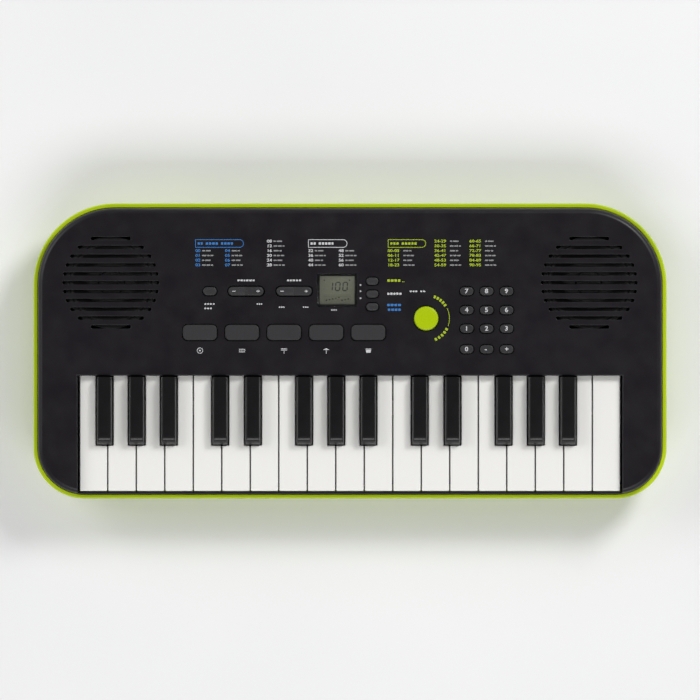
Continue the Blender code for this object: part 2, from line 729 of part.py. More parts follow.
def make_contacts(board_material, rubber_material):
    """The contact board on the chassis, and the rubber strip with a dome for each key."""
    board_low = CHASSIS_Z + CHASSIS_THICK + GAP
    board_high = board_low + 1.6
    board = bmesh.new()
    add_box(board, (-190.0, -52.0, board_low), (190.0, -28.0, board_high))
    place("key_contact_board", finish_mesh("key_contact_board", board), board_material)

    strip_low = board_high + GAP
    strip = bmesh.new()
    add_box(
        strip,
        (-CONTACT_STRIP_HALF_X, RIB_Y - 5.0, strip_low),
        (CONTACT_STRIP_HALF_X, RIB_Y + 5.0, strip_low + 1.0),
    )
    domes = bmesh.new()
    for _, kind, x, neck in key_list():
        centre = (x if kind == "sharp" else x + sum(neck) / 2, RIB_Y)
        rings = [(DOME_BASE_R, strip_low + 0.5), (DOME_TOP_R, SKIRT_Z - GAP)]
        add_loft(
            domes,
            [[(px, py, z) for px, py in circle(centre, r, DOME_SIDES)] for r, z in rings],
        )
    mesh = combine(
        "contact_rubber",
        finish_mesh("strip", strip),
        ("UNION", finish_mesh("domes", domes)),
    )
    place("contact_rubber", mesh, rubber_material)


# ----------------------------------------------------------------- controls


def add_cap(bm, outline_of, z_low, z_high):
    """A button top with a bevelled edge. outline_of gives the outline for an inset."""
    rings = [(0.0, z_low), (0.0, z_high - CAP_BEVEL), (CAP_BEVEL, z_high)]
    add_loft(bm, [[(x, y, z) for x, y in outline_of(inset)] for inset, z in rings])


def button_mesh(name, outline_of, top, flange_top, flange_thick, plunger):
    """A cap, the flange that holds it under the panel, and its plunger, round the origin."""
    overlap = 0.2
    cap = bmesh.new()
    add_cap(cap, outline_of, flange_top - flange_thick + overlap, top)
    flange = bmesh.new()
    add_prism(flange, outline_of(-FLANGE_WIDTH), flange_top - flange_thick, flange_top)
    steps = [("UNION", finish_mesh("flange", flange))]
    if plunger:
        stem = bmesh.new()
        stem_top = flange_top - flange_thick + overlap
        add_cylinder(stem, (0.0, 0.0), PLUNGER_R, PLUNGER_BOTTOM_Z - PANEL_Z, stem_top, 8)
        steps.append(("UNION", finish_mesh("stem", stem)))
    return combine(name, finish_mesh("cap", cap), *steps)


def round_outline(radius, steps):
    return lambda inset: circle((0.0, 0.0), radius - inset, steps)


def box_outline(size, radius, steps=3):
    return lambda inset: rounded_rectangle(
        (0.0, 0.0), grown(size, -inset), max(radius - inset, 0.3), steps
    )


def capsule_outline(size, steps=3):
    return box_outline(size, size[1] / 2, steps)


def make_buttons(materials):
    """Single buttons. Each has its origin at its centre, level with the panel's top."""
    flange_top = FLANGE_TOP_Z - PANEL_Z
    cap_top = CAP_TOP_Z - PANEL_Z
    singles = {
        "piano_organ_button": (
            round_outline(ROUND_BUTTON_R, 24),
            ROUND_BUTTON_AT,
            cap_top + ROUND_CAP_RISE,
            "button_lime",
        ),
        "power_button": (capsule_outline(SMALL_SIZE), POWER_AT, cap_top, "button_grey"),
    }
    for number, x in enumerate(PAD_XS, 1):
        outline_of = box_outline(PAD_SIZE, PAD_R)
        singles[f"drum_pad_{number}"] = (outline_of, (x, PAD_Y), cap_top, "pad_rubber")
    for mode, y in MODE_YS.items():
        outline_of = capsule_outline(MODE_SIZE)
        singles[f"{mode}_button"] = (outline_of, (MODE_X, y), cap_top, "button_grey")
    for name, (outline_of, centre, top, slot) in singles.items():
        mesh = button_mesh(name, outline_of, top, flange_top, FLANGE_THICK, plunger=True)
        place(name, mesh, materials[slot], (*centre, PANEL_Z))


def make_rockers(material):
    """The two plus-and-minus rockers. Each has its origin on its pivot axis."""
    outline_of = capsule_outline(ROCKER_SIZE)
    for name, x in ROCKER_XS.items():
        mesh = button_mesh(
            f"{name}_rocker",
            outline_of,
            CAP_TOP_Z - ROCKER_PIVOT_Z,
            ROCKER_FLANGE_TOP_Z - ROCKER_PIVOT_Z,
            ROCKER_FLANGE_THICK,
            plunger=False,
        )
        place(f"{name}_rocker", mesh, material, (x, ROCKER_Y, ROCKER_PIVOT_Z))


def make_number_keypad(material):
    """One rubber sheet with twelve button tops. Its origin is at the sheet's middle."""
    (low_x, low_y), (high_x, high_y) = KEYPAD_SHEET
    middle = ((low_x + high_x) / 2, (low_y + high_y) / 2)
    flange_top = FLANGE_TOP_Z - PANEL_Z
    sheet = bmesh.new()
    size = (high_x - low_x, high_y - low_y)
    outline = rounded_rectangle((0.0, 0.0), size, 2.0, 2)
    add_prism(sheet, outline, flange_top - FLANGE_THICK, flange_top)
    tops = bmesh.new()
    for x in KEYPAD_XS:
        for y in KEYPAD_YS:
            outline_of = capsule_outline(SMALL_SIZE, 2)
            moved = [
                [(px + x - middle[0], py + y - middle[1], z) for px, py in outline_of(inset)]
                for inset, z in (
                    (0.0, flange_top - 0.5),
                    (0.0, CAP_TOP_Z - PANEL_Z - CAP_BEVEL),
                    (CAP_BEVEL, CAP_TOP_Z - PANEL_Z),
                )
            ]
            add_loft(tops, moved)
    mesh = combine(
        "number_keypad", finish_mesh("sheet", sheet), ("UNION", finish_mesh("tops", tops))
    )
    place("number_keypad", mesh, material, (*middle, PANEL_Z))


# ----------------------------------------------------- display and electronics


def make_display(window_material, module_material):
    """The clear window, glued under the panel by its flange, and the display below it."""
    flange_low, flange_high = PANEL_UNDERSIDE_Z - GAP - 1.2, PANEL_UNDERSIDE_Z - GAP
    flange = bmesh.new()
    low = (DISPLAY_LOW[0] - 1.6, DISPLAY_LOW[1] - 1.6)
    high = (DISPLAY_HIGH[0] + 1.6, DISPLAY_HIGH[1] + 1.6)
    add_box(flange, (*low, flange_low), (*high, flange_high))
    pane = bmesh.new()
    add_box(
        pane,
        (DISPLAY_LOW[0] + GAP, DISPLAY_LOW[1] + GAP, flange_low + 0.4),
        (DISPLAY_HIGH[0] - GAP, DISPLAY_HIGH[1] - GAP, WINDOW_TOP_Z),
    )
    mesh = combine(
        "display_window", finish_mesh("flange", flange), ("UNION", finish_mesh("pane", pane))
    )
    place("display_window", mesh, window_material)

    module = bmesh.new()
    add_box(
        module,
        (DISPLAY_LOW[0] - 1.0, DISPLAY_LOW[1] - 1.0, BOARD_Z + BOARD_THICK + GAP),
        (DISPLAY_HIGH[0] + 1.0, DISPLAY_HIGH[1] + 1.0, flange_low - GAP),
    )
    place("display_module", finish_mesh("display_module", module), module_material)


def make_main_board(material):
    bm = bmesh.new()
    add_box(bm, (*BOARD_LOW, BOARD_Z), (*BOARD_HIGH, BOARD_Z + BOARD_THICK))
    place("main_board", finish_mesh("main_board", bm), material)


def make_speakers(material):
    """Each speaker faces the slots: magnet, basket, rolled surround, cone and dust cap."""
    profile = [
        (14.0, 25.0),
        (14.0, 31.0),
        (18.0, 32.0),
        (28.0, 42.6),
        (SPEAKER_R, 43.2),
        (SPEAKER_R, 45.1),
        (28.6, 45.1),
        (26.8, 44.2),
        (24.6, 44.4),
        (9.0, 37.4),
        (6.0, 39.0),
    ]
    for name, side in (("speaker_left", -1), ("speaker_right", 1)):
        bm = bmesh.new()
        rings = [[(x, y, z) for x, y in circle((0.0, 0.0), r, SPEAKER_SIDES)] for r, z in profile]
        add_loft(bm, rings)
        place(name, finish_mesh(name, bm), material, (side * SPEAKER_X, SPEAKER_Y, 0.0))


def make_socket(name, x, hole_radius, pin_radius, material):
    """A panel socket: a block inside the case and a round neck in the rear wall."""
    block = bmesh.new()
    add_box(
        block,
        (x - 5.5, SOCKET_REAR_Y, SOCKET_Z - 5.5),
        (x + 5.5, SOCKET_NECK_Y, SOCKET_Z + 5.5),
    )
    centre = (x, SOCKET_Z)
    neck = bmesh.new()
    add_cylinder(neck, centre, SOCKET_NECK_R, SOCKET_NECK_Y - 2.0, SOCKET_FACE_Y, 16, axis="Y")
    hole = bmesh.new()
    add_cylinder(hole, centre, hole_radius, SOCKET_REAR_Y + 2.0, SOCKET_FACE_Y + 3.0, 12, axis="Y")
    steps = [("UNION", finish_mesh("neck", neck)), ("DIFFERENCE", finish_mesh("hole", hole))]
    if pin_radius:
        pin = bmesh.new()
        add_cylinder(
            pin, centre, pin_radius, SOCKET_REAR_Y + 1.0, SOCKET_FACE_Y - 1.5, 8, axis="Y"
        )
        steps.append(("UNION", finish_mesh("pin", pin)))
    place(name, combine(name, finish_mesh("block", block), *steps), material)


def main():
    for piece in list(bpy.data.objects):
        bpy.data.objects.remove(piece)
    materials = make_materials()
    make_bottom_case(materials["case_lime"])
    make_top_case(materials["case_black"])
    make_battery_cover(materials["case_lime"])
    make_battery_contacts(materials["steel"])
    make_chassis(materials["chassis_plastic"])
    make_pivot_rod(materials["steel"])
    make_contacts(materials["circuit_board"], materials["contact_rubber"])
    make_keys(materials)
    make_buttons(materials)
    make_rockers(materials["button_grey"])
    make_number_keypad(materials["button_grey"])
    make_display(materials["window_clear"], materials["display_glass"])
    make_main_board(materials["circuit_board"])
    make_speakers(materials["speaker_metal"])
    make_socket("headphone_socket", HEADPHONE_X, 1.8, 0.0, materials["socket_plastic"])
    make_socket("dc_socket", DC_X, 2.8, 0.8, materials["socket_plastic"])


main()
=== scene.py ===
"""Looks for the 32-key mini keyboard: fine meshes, materials, prints, floor, lights and camera.

Lengths in the mesh builders are in millimetres. Places come from the frame's nodes.
"""

import json
import math

import bmesh
import bpy
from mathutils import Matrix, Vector


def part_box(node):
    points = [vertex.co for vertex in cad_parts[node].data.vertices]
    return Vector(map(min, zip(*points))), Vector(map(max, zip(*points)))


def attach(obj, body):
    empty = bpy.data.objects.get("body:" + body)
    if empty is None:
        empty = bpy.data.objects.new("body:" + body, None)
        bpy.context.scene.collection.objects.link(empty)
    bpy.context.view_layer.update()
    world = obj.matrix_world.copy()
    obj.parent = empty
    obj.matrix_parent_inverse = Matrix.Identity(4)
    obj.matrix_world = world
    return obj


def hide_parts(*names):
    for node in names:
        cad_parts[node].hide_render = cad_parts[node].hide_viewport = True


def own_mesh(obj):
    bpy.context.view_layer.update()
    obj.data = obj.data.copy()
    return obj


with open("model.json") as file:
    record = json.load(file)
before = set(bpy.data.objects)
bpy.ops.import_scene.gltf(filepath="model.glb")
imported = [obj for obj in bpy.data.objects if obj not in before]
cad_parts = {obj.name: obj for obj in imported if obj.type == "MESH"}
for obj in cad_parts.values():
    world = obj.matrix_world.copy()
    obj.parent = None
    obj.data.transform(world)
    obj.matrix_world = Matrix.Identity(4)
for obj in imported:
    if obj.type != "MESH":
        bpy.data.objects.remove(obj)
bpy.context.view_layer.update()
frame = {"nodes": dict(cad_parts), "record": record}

MM = 0.001
ROOT = "housing"
SHARP_ANGLE = math.radians(32)
JOIN, CUT = "UNION", "DIFFERENCE"
AXIS = (0.0, 0.0)

# Wall thicknesses, gaps and radii that the CAD nodes share
FLANGE_WIDTH = 1.5
HOLE_CLEARANCE = 0.4
ROCKER_CLEARANCE = 0.7
WINDOW_FLANGE = 1.9
PANE_GAP = 0.3
KEY_WALL = 1.5
SHARP_GAP = 0.6
STEM_STEP = 1.0
STEM_TOP = 38.5
SADDLE_R = 1.8
RIM_WIDTH = 2.5
RIM_EXTRA = 0.4  # what the photo's rim shows beyond the CAD's
REAR_CORNER_R, FRONT_CORNER_R = 57.7, 36.0
REAR_STEPS, FRONT_STEPS = 28, 22
SLOT_PITCH, SLOT_WIDTH, SLOT_FIELD_R, SLOT_COUNT = 6.2, 2.4, 34.0, 11
KEYPAD_COLUMNS = (-14.0, 0.0, 14.0)
KEYPAD_ROWS = (20.25, 6.95, -6.05, -20.55)
SMALL_BUTTON = (9.6, 6.0)
CAP_STEPS = 9
TONGUE_PLACES = (-30.0, 30.0)
PRINT_THICK = 0.03
CUT_OVER = 0.003  # how far a rounded cutter passes the surface, so that no vertices coincide


# ---- frame lengths


def box_mm(node):
    """A CAD node's lowest and highest corners in millimetres."""
    low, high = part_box(node)
    return Vector(low) / MM, Vector(high) / MM


def middle(node):
    low, high = box_mm(node)
    return (low + high) / 2


def cap_of(node, flange=FLANGE_WIDTH):
    """Where a button's cap is: its centre and its size, from the flange that the box holds."""
    low, high = box_mm(node)
    centre = (low + high) / 2
    size = (high.x - low.x - 2 * flange, high.y - low.y - 2 * flange)
    return (centre.x, centre.y), size


CASE_LOW, CASE_HIGH = box_mm("bottom_case")
PANEL_Z = box_mm("top_case")[1].z
SKIRT_Z = box_mm("top_case")[0].z
PANEL_UNDERSIDE_Z = PANEL_Z - 2.5
RIM_Z = CASE_HIGH.z
LEDGE_Z = SKIRT_Z - 0.3
BASE_Z = CASE_LOW.z + 2.5
ROD = middle("key_pivot_rod")


# ---- mesh builders


def loft(rings, closed=False):
    """A shape of one body through rings of equal length, each a list of (x, y, z). A closed body
    joins its last ring to its first, as a washer does. Shapes are added with +.
    """
    return [(rings, closed)]


def prism(points, z_low, z_high):
    return loft([[(x, y, z) for x, y in points] for z in (z_low, z_high)])


def box(low, high):
    corners = [(low[0], low[1]), (high[0], low[1]), (high[0], high[1]), (low[0], high[1])]
    return prism(corners, low[2], high[2])


def bar(profile, x_low, x_high):
    """A bar along X whose section is a (y, z) profile."""
    return loft([[(x, y, z) for y, z in profile] for x in (x_low, x_high)])


def arc(centre, radius, start, end, steps):
    angles = [math.radians(start + (end - start) * i / steps) for i in range(steps + 1)]
    return [(centre[0] + radius * math.cos(a), centre[1] + radius * math.sin(a)) for a in angles]


def circle(centre, radius, steps=32):
    return arc(centre, radius, 0, 360, steps)[:-1]


def quarter(steps):
    """Angles from 0 to a right angle."""
    return [math.pi / 2 * k / steps for k in range(steps + 1)]


def polygon(corners, steps=5):
    """Points round a shape given by its corners, each an (x, y, radius)."""
    points = []
    for i, (x, y, radius) in enumerate(corners):
        here = Vector((x, y))
        back = (Vector(corners[i - 1][:2]) - here).normalized()
        ahead = (Vector(corners[(i + 1) % len(corners)][:2]) - here).normalized()
        half = back.angle(ahead) / 2
        centre = here + (back + ahead).normalized() * radius / math.sin(half)
        first = here + back * radius / math.tan(half) - centre
        last = here + ahead * radius / math.tan(half) - centre
        start = math.atan2(first.y, first.x)
        turn = math.remainder(math.atan2(last.y, last.x) - start, 2 * math.pi)
        for angle in (start + turn * k / steps for k in range(steps + 1)):
            across, up = radius * math.cos(angle), radius * math.sin(angle)
            points.append((centre.x + across, centre.y + up))
    return points


def inset(corners, by):
    """The same corners moved inwards, for a shape that runs anticlockwise."""
    moved = []
    for i, (x, y, radius) in enumerate(corners):
        here = Vector((x, y))
        a = (here - Vector(corners[i - 1][:2])).normalized()
        b = (Vector(corners[(i + 1) % len(corners)][:2]) - here).normalized()
        side_a, side_b = Vector((-a.y, a.x)), Vector((-b.y, b.x))
        mitre = (side_a + side_b) / (1 + side_a.dot(side_b))
        turns_left = a.x * b.y - a.y * b.x > 0
        new_radius = radius - by if turns_left else radius + by
        moved.append((*(here + mitre * by), max(new_radius, 0.04)))
    return moved


def box_corners(centre, size, radius=None):
    """The corners of a box seen from above, which has round ends if no radius is given."""
    x, y = size[0] / 2, size[1] / 2
    radius = min(radius or min(x, y), x - 0.02, y - 0.02)
    signs = ((-1, -1), (1, -1), (1, 1), (-1, 1))
    return [(centre[0] + sx * x, centre[1] + sy * y, radius) for sx, sy in signs]


def plan_of(node, radius):
    """The corners of a CAD node's box, seen from above."""
    return box_corners(*cap_of(node, 0.0), radius)


def stack(corners, profile, steps=5, closed=False):
    """A body whose plan is inset at each (inset, z) of a profile."""
    rings = [[(x, y, z) for x, y in polygon(inset(corners, by), steps)] for by, z in profile]
    return loft(rings, closed)


def round_edge(z_top, radius, steps=4):
    """(inset, z) pairs up a rounded top edge."""
    angles = quarter(steps)
    return [(radius * (1 - math.cos(a)), z_top - radius * (1 - math.sin(a))) for a in angles]


def block(corners, z_low, z_high, edge, dish=0.0, steps=5):
    """A block with a rounded top edge, and a top that dishes if dish isn't zero."""
    profile = [(0.0, z_low), *round_edge(z_high, edge)]
    if dish:
        spans = [max(c[i] for c in corners) - min(c[i] for c in corners) for i in (0, 1)]
        reach = min(spans) / 2 - edge - 0.4
        for part in (k / 6 for k in range(1, 7)):
            profile.append((edge + reach * part, z_high - dish * math.sin(math.pi / 2 * part)))
    return stack(corners, profile, steps)


def slab(corners, z_low, z_high, by=0.0, steps=5):
    """A plate with upright sides."""
    return stack(corners, [(by, z_low), (by, z_high)], steps)


def opening(corners, z_low, z_high, edge=0.35, steps=5):
    """A cutter for a hole whose rim is rounded where it meets the surface at z_high."""
    rim = [(-by, z) for by, z in round_edge(z_high + CUT_OVER, edge)]
    return stack(corners, [(0.0, z_low), *rim, (-edge - 0.6, z_high + 0.6)], steps)


def lathe(centre, profile, steps=40, closed=False):
    """Turns (radius, z) points about the upright line through centre."""
    return loft([[(x, y, z) for x, y in circle(centre, r, steps)] for r, z in profile], closed)


def lying_lathe(place, profile, steps=40, closed=False):
    """Turns (radius, y) points about the line along Y through place, an (x, z)."""
    return loft([[(x, y, z) for x, z in circle(place, r, steps)] for r, y in profile], closed)


def smooth_curve(points, steps=5):
    """A smooth run through points, as a Catmull-Rom curve."""
    padded = [points[0], *points, points[-1]]
    run = []
    for i in range(len(points) - 1):
        a, b, c, d = (Vector(p) for p in padded[i : i + 4])
        for t in (k / steps for k in range(steps)):
            point = 2 * b + (c - a) * t + (2 * a - 5 * b + 4 * c - d) * t**2
            run.append(tuple(0.5 * (point + (3 * b - a - 3 * c + d) * t**3)))
    return [*run, tuple(points[-1])]


def case_ring(by, z):
    """The housing's plan outline, moved inwards, at the height z."""
    rear, front = (REAR_CORNER_R - by, REAR_STEPS), (FRONT_CORNER_R - by, FRONT_STEPS)
    corners = ((1, 1, rear), (-1, 1, rear), (-1, -1, front), (1, -1, front))
    points = []
    for turn, (sx, sy, (radius, steps)) in enumerate(corners):
        centre = (sx * (CASE_HIGH.x - by - radius), sy * (CASE_HIGH.y - by - radius))
        points += arc(centre, radius, 90 * turn, 90 * turn + 90, steps)
    return [(x, y, z) for x, y in points]


def mesh_of(name, bm):
    mesh = bpy.data.meshes.new(name)
    bm.to_mesh(mesh)
    bm.free()
    return mesh


def build(name, shape):
    """The mesh of a shape, which is a list of (rings, closed) bodies."""
    bm = bmesh.new()
    for rings, closed in shape:
        loops = [[bm.verts.new(Vector(point) * MM) for point in ring] for ring in rings]
        following = [*loops[1:], loops[0]] if closed else loops[1:]
        for near, far in zip(loops, following):
            for i in range(len(near)):
                j = (i + 1) % len(near)
                bm.faces.new((near[i], near[j], far[j], far[i]))
        if not closed:
            bm.faces.new(loops[0])
            bm.faces.new(loops[-1])
    bmesh.ops.recalc_face_normals(bm, faces=bm.faces)
    return mesh_of(name, bm)


def placed(name, data):
    made = bpy.data.objects.new(name, data)
    bpy.context.scene.collection.objects.link(made)
    return made


def evaluated_mesh(made):
    """The mesh of an object with its modifiers or curve settings applied."""
    bpy.context.view_layer.update()
    depsgraph = bpy.context.evaluated_depsgraph_get()
    return bpy.data.meshes.new_from_object(made.evaluated_get(depsgraph))


def combine(name, shape, *steps):
    """The mesh of a shape after a chain of Booleans, each an (operation, shape) pair."""
    body = placed(name, build(name + "_body", shape))
    tools = []
    for operation, tool in steps:
        tools.append(placed(name + "_tool", build(name + "_tool", tool)))
        boolean = body.modifiers.new(operation, "BOOLEAN")
        boolean.operation = operation
        boolean.solver = "EXACT"
        boolean.object = tools[-1]
    result = evaluated_mesh(body)
    for temporary in [body, *tools]:
        bpy.data.objects.remove(temporary)
    result.name = name
    return result


def piece(name, form, material, *steps, body=ROOT, slot=None, replaces=(), at=(0.0, 0.0, 0.0)):
    """Puts a mesh, or a shape after its Booleans, on a body. Its slot argument is not used.
    """
    if isinstance(form, list):
        form = combine(name, form, *steps) if steps else build(name, form)
    if not form.materials:
        form.materials.append(MATERIALS[material])
        form.shade_smooth()
        form.set_sharp_from_angle(angle=SHARP_ANGLE)
    made = placed(name, form)
    made.location = Vector(at) * MM
    normals = made.modifiers.new("even_shading", "WEIGHTED_NORMAL")
    normals.keep_sharp = True
    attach(made, body)
    if replaces:
        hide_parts(*replaces)
    return made


# ---- materials


class Nodes:
    """A material's node tree, with short calls for the nodes used here."""

    def __init__(self, name):
        self.material = bpy.data.materials.new(name)
        self.material.use_nodes = True
        self.tree = self.material.node_tree
        self.shader = self.tree.nodes["Principled BSDF"]
        self.position = self.tree.nodes.new("ShaderNodeTexCoord").outputs["Object"]

    def add(self, kind, **values):
        """A node of a kind, with its inputs' values: from_min sets the input From Min."""
        node = self.tree.nodes.new(kind)
        for key, value in values.items():
            node.inputs[key.replace("_", " ").title()].default_value = value
        return node

    def link(self, output, target):
        self.tree.links.new(output, target)

    def drive(self, socket, output):
        self.link(output, self.shader.inputs[socket])

    def fix(self, socket, value):
        self.shader.inputs[socket].default_value = value

    def noise(self, scale, detail=3.0, roughness=0.5):
        node = self.add("ShaderNodeTexNoise", scale=scale, detail=detail, roughness=roughness)
        self.link(self.position, node.inputs["Vector"])
        return node.outputs["Fac"]

    def spread(self, source, low=0.0, high=1.0):
        """Stretches the middle of a noise's range."""
        limits = {"from_min": 0.3, "from_max": 0.7, "to_min": low, "to_max": high}
        node = self.add("ShaderNodeMapRange", **limits)
        self.link(source, node.inputs["Value"])
        return node.outputs["Result"]

    def mix(self, factor, first, second):
        node = self.tree.nodes.new("ShaderNodeMix")
        node.data_type = "RGBA"
        self.link(factor, node.inputs["Factor"])
        for name, colour in (("A_Color", first), ("B_Color", second)):
            socket = next(s for s in node.inputs if s.identifier == name)
            socket.default_value = (*colour, 1.0)
        return next(s for s in node.outputs if s.identifier == "Result_Color")

    def bump(self, heights, strength, distance):
        """Chains bump nodes, one for each height, into the shader's normal."""
        normal = None
        for height in heights:
            node = self.add("ShaderNodeBump", strength=strength, distance=distance)
            self.link(height, node.inputs["Height"])
            if normal:
                self.link(normal, node.inputs["Normal"])
            normal = node.outputs["Normal"]
        self.drive("Normal", normal)


def tinted(colour, by):
    return tuple(min(max(c * (1 + by), 0.0), 1.0) for c in colour)


def moulded(name, colour, roughness, grain, depth, vary=0.08, specular=0.5, coat=0.0):
    """Moulded plastic or rubber: fine spark-eroded grain, faint flow marks, uneven sheen."""
    nodes = Nodes(name)
    cloud = nodes.spread(nodes.noise(14.0, detail=4.0))
    nodes.drive("Base Color", nodes.mix(cloud, tinted(colour, -vary), tinted(colour, vary)))
    sheen = nodes.noise(60.0, detail=5.0, roughness=0.6)
    nodes.drive("Roughness", nodes.spread(sheen, roughness * 0.88, min(roughness * 1.15, 1.0)))
    nodes.fix("Coat Weight", coat)
    nodes.fix("Coat Roughness", 0.12)
    nodes.fix("Specular IOR Level", specular)
    fine, broad = nodes.noise(grain, detail=2.0), nodes.noise(grain * 0.35, detail=2.0)
    nodes.bump([fine, broad], depth, 0.00003)
    return nodes.material


def metal(name, colour, roughness):
    """Plated steel with a fine drawn grain along X."""
    nodes = Nodes(name)
    stretch = nodes.add("ShaderNodeMapping", scale=(0.04, 1.0, 1.0))
    nodes.link(nodes.position, stretch.inputs["Vector"])
    nodes.position = stretch.outputs["Vector"]
    drawn = nodes.noise(2500.0)
    shade = nodes.mix(nodes.spread(drawn), tinted(colour, -0.12), tinted(colour, 0.08))
    nodes.drive("Base Color", shade)
    nodes.drive("Roughness", nodes.spread(drawn, roughness * 0.8, roughness * 1.3))
    nodes.fix("Metallic", 1.0)
    nodes.bump([drawn], 0.15, 0.00002)
    return nodes.material


def ink(name, colour, roughness=0.55):
    """Screen-printed ink, slightly uneven in density."""
    nodes = Nodes(name)
    density = nodes.spread(nodes.noise(900.0))
    nodes.drive("Base Color", nodes.mix(density, tinted(colour, -0.1), tinted(colour, 0.04)))
    nodes.drive("Roughness", nodes.spread(nodes.noise(400.0), roughness * 0.9, roughness))
    nodes.bump([nodes.noise(1800.0)], 0.2, 0.00001)
    return nodes.material


def clear_plastic(name):
    """The display window: clear, polished, with faint moulding waves."""
    nodes = Nodes(name)
    nodes.drive("Roughness", nodes.spread(nodes.noise(90.0, detail=4.0), 0.03, 0.07))
    tint = nodes.spread(nodes.noise(30.0))
    nodes.drive("Base Color", nodes.mix(tint, (0.93, 0.95, 0.93), (0.97, 0.98, 0.97)))
    nodes.fix("Transmission Weight", 1.0)
    nodes.fix("IOR", 1.2)
    nodes.bump([nodes.noise(45.0)], 0.05, 0.00002)
    return nodes.material


def display_glass(name):
    """A reflective liquid-crystal panel: grey-green, with the faint grid of its electrodes."""
    nodes = Nodes(name)
    grid = nodes.add(
        "ShaderNodeTexBrick",
        scale=700.0,
        mortar_size=0.012,
        color1=(0.2, 0.2, 0.158, 1.0),
        color2=(0.192, 0.192, 0.15, 1.0),
        mortar=(0.172, 0.172, 0.135, 1.0),
    )
    nodes.link(nodes.position, grid.inputs["Vector"])
    nodes.drive("Base Color", grid.outputs["Color"])
    nodes.drive("Roughness", nodes.spread(nodes.noise(200.0), 0.3, 0.38))
    nodes.bump([nodes.noise(1500.0)], 0.08, 0.00001)
    return nodes.material


def paper_cone(name, colour):
    """Pressed paper pulp, with radial fibres."""
    nodes = Nodes(name)
    fibre = nodes.noise(700.0, detail=6.0, roughness=0.7)
    shade = nodes.mix(nodes.spread(fibre), tinted(colour, -0.3), tinted(colour, 0.4))
    nodes.drive("Base Color", shade)
    nodes.drive("Roughness", nodes.spread(fibre, 0.75, 0.95))
    nodes.bump([fibre, nodes.noise(2200.0)], 0.5, 0.00006)
    return nodes.material


PLASTICS = {
    # name: colour, roughness, grain, depth of the grain, then variation, specular level, coat
    "case_black": ((0.0058, 0.0046, 0.0068), 0.42, 1500.0, 0.22, 0.08, 0.3),
    "case_lime": ((0.45, 0.6, 0.005), 0.42, 1300.0, 0.2, 0.03, 0.35),
    "key_white": ((0.74, 0.735, 0.712), 0.22, 260.0, 0.03, 0.012, 0.5, 0.25),
    "key_black": ((0.0055, 0.0052, 0.006), 0.3, 1600.0, 0.2, 0.08, 0.4),
    "button_lime": ((0.345, 0.465, 0.001), 0.34, 1400.0, 0.1, 0.02, 0.3),
    "button_grey": ((0.0125, 0.012, 0.014), 0.55, 1400.0, 0.3),
    "pad_rubber": ((0.0115, 0.011, 0.013), 0.66, 900.0, 0.5),
    "circuit_board": ((0.02, 0.13, 0.045), 0.35, 500.0, 0.2, 0.2),
    "contact_rubber": ((0.45, 0.45, 0.43), 0.72, 900.0, 0.3),
    "chassis_plastic": ((0.045, 0.045, 0.048), 0.55, 800.0, 0.3),
    "speaker_metal": ((0.03, 0.03, 0.032), 0.5, 900.0, 0.4),
    "socket_plastic": ((0.018, 0.018, 0.02), 0.45, 1200.0, 0.2),
    "foot_rubber": ((0.02, 0.02, 0.021), 0.8, 700.0, 0.6),
}
INKS = {
    "ink_white": ((0.5, 0.5, 0.515),),
    "ink_lime": ((0.33, 0.425, 0.006),),
    "ink_blue": ((0.025, 0.15, 0.42),),
    "ink_dark": ((0.012, 0.012, 0.014),),
    "ink_grey": ((0.22, 0.22, 0.225),),
    "segments": ((0.03, 0.035, 0.03), 0.35),
}
MATERIALS = {
    "window_clear": clear_plastic("window_clear"),
    "display_glass": display_glass("display_glass"),
    "steel": metal("steel", (0.62, 0.62, 0.64), 0.28),
    "speaker_cone": paper_cone("speaker_cone", (0.03, 0.029, 0.028)),
}
MATERIALS |= {name: moulded(name, *look) for name, look in PLASTICS.items()}
MATERIALS |= {name: ink(name, *look) for name, look in INKS.items()}


def dress_kept_nodes():
    """CAD nodes whose shape is right stay, and take the finished materials."""
    for entry in frame["record"]["subparts"]:
        node = frame["nodes"][entry["node"]]
        for place in node.material_slots:
            place.material = MATERIALS[entry["material_slot"]]


# ---- housing


def keys_of_kind(sharp):
    """The keys' nodes from left to right, such as key_f3 or key_f3_sharp."""
    names = [n for n in frame["nodes"] if n.startswith("key_") and n[5:6].isdigit()]
    names = [n for n in names if n.endswith("_sharp") == sharp]
    return sorted(names, key=lambda n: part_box(n)[0].x)


NATURALS, SHARPS = keys_of_kind(False), keys_of_kind(True)
OPENING_HALF_X = 191.4
OPENING_FRONT_Y, OPENING_REAR_Y = -99.2, -17.4
LIP_Z = 37.0


def top_case_shell():
    """The panel, a soft shoulder and the side walls, as a thin cup that is open below."""
    shoulder = [(3.45 + 3.85 * (1 - math.cos(a)), 43.8 + 4.2 * math.sin(a)) for a in quarter(10)]
    rings = [(7.4, PANEL_UNDERSIDE_Z), (6.0, 44.8), (5.4, 43.0), (5.0, 38.0), (5.0, SKIRT_Z)]
    rings += [(2.95, SKIRT_Z), (2.8, SKIRT_Z + 0.15), (2.95, 36.0), (3.2, 40.0), *shoulder]
    return loft([case_ring(by + RIM_EXTRA, z) for by, z in rings])


def cheek_walls():
    near, far = OPENING_HALF_X - 0.5, OPENING_HALF_X + 2.0
    walls = []
    for x_low, x_high in ((-far, -near), (near, far)):
        walls += box((x_low, -98.6, SKIRT_Z + 1.0), (x_high, OPENING_REAR_Y - 0.4, 46.6))
    return walls


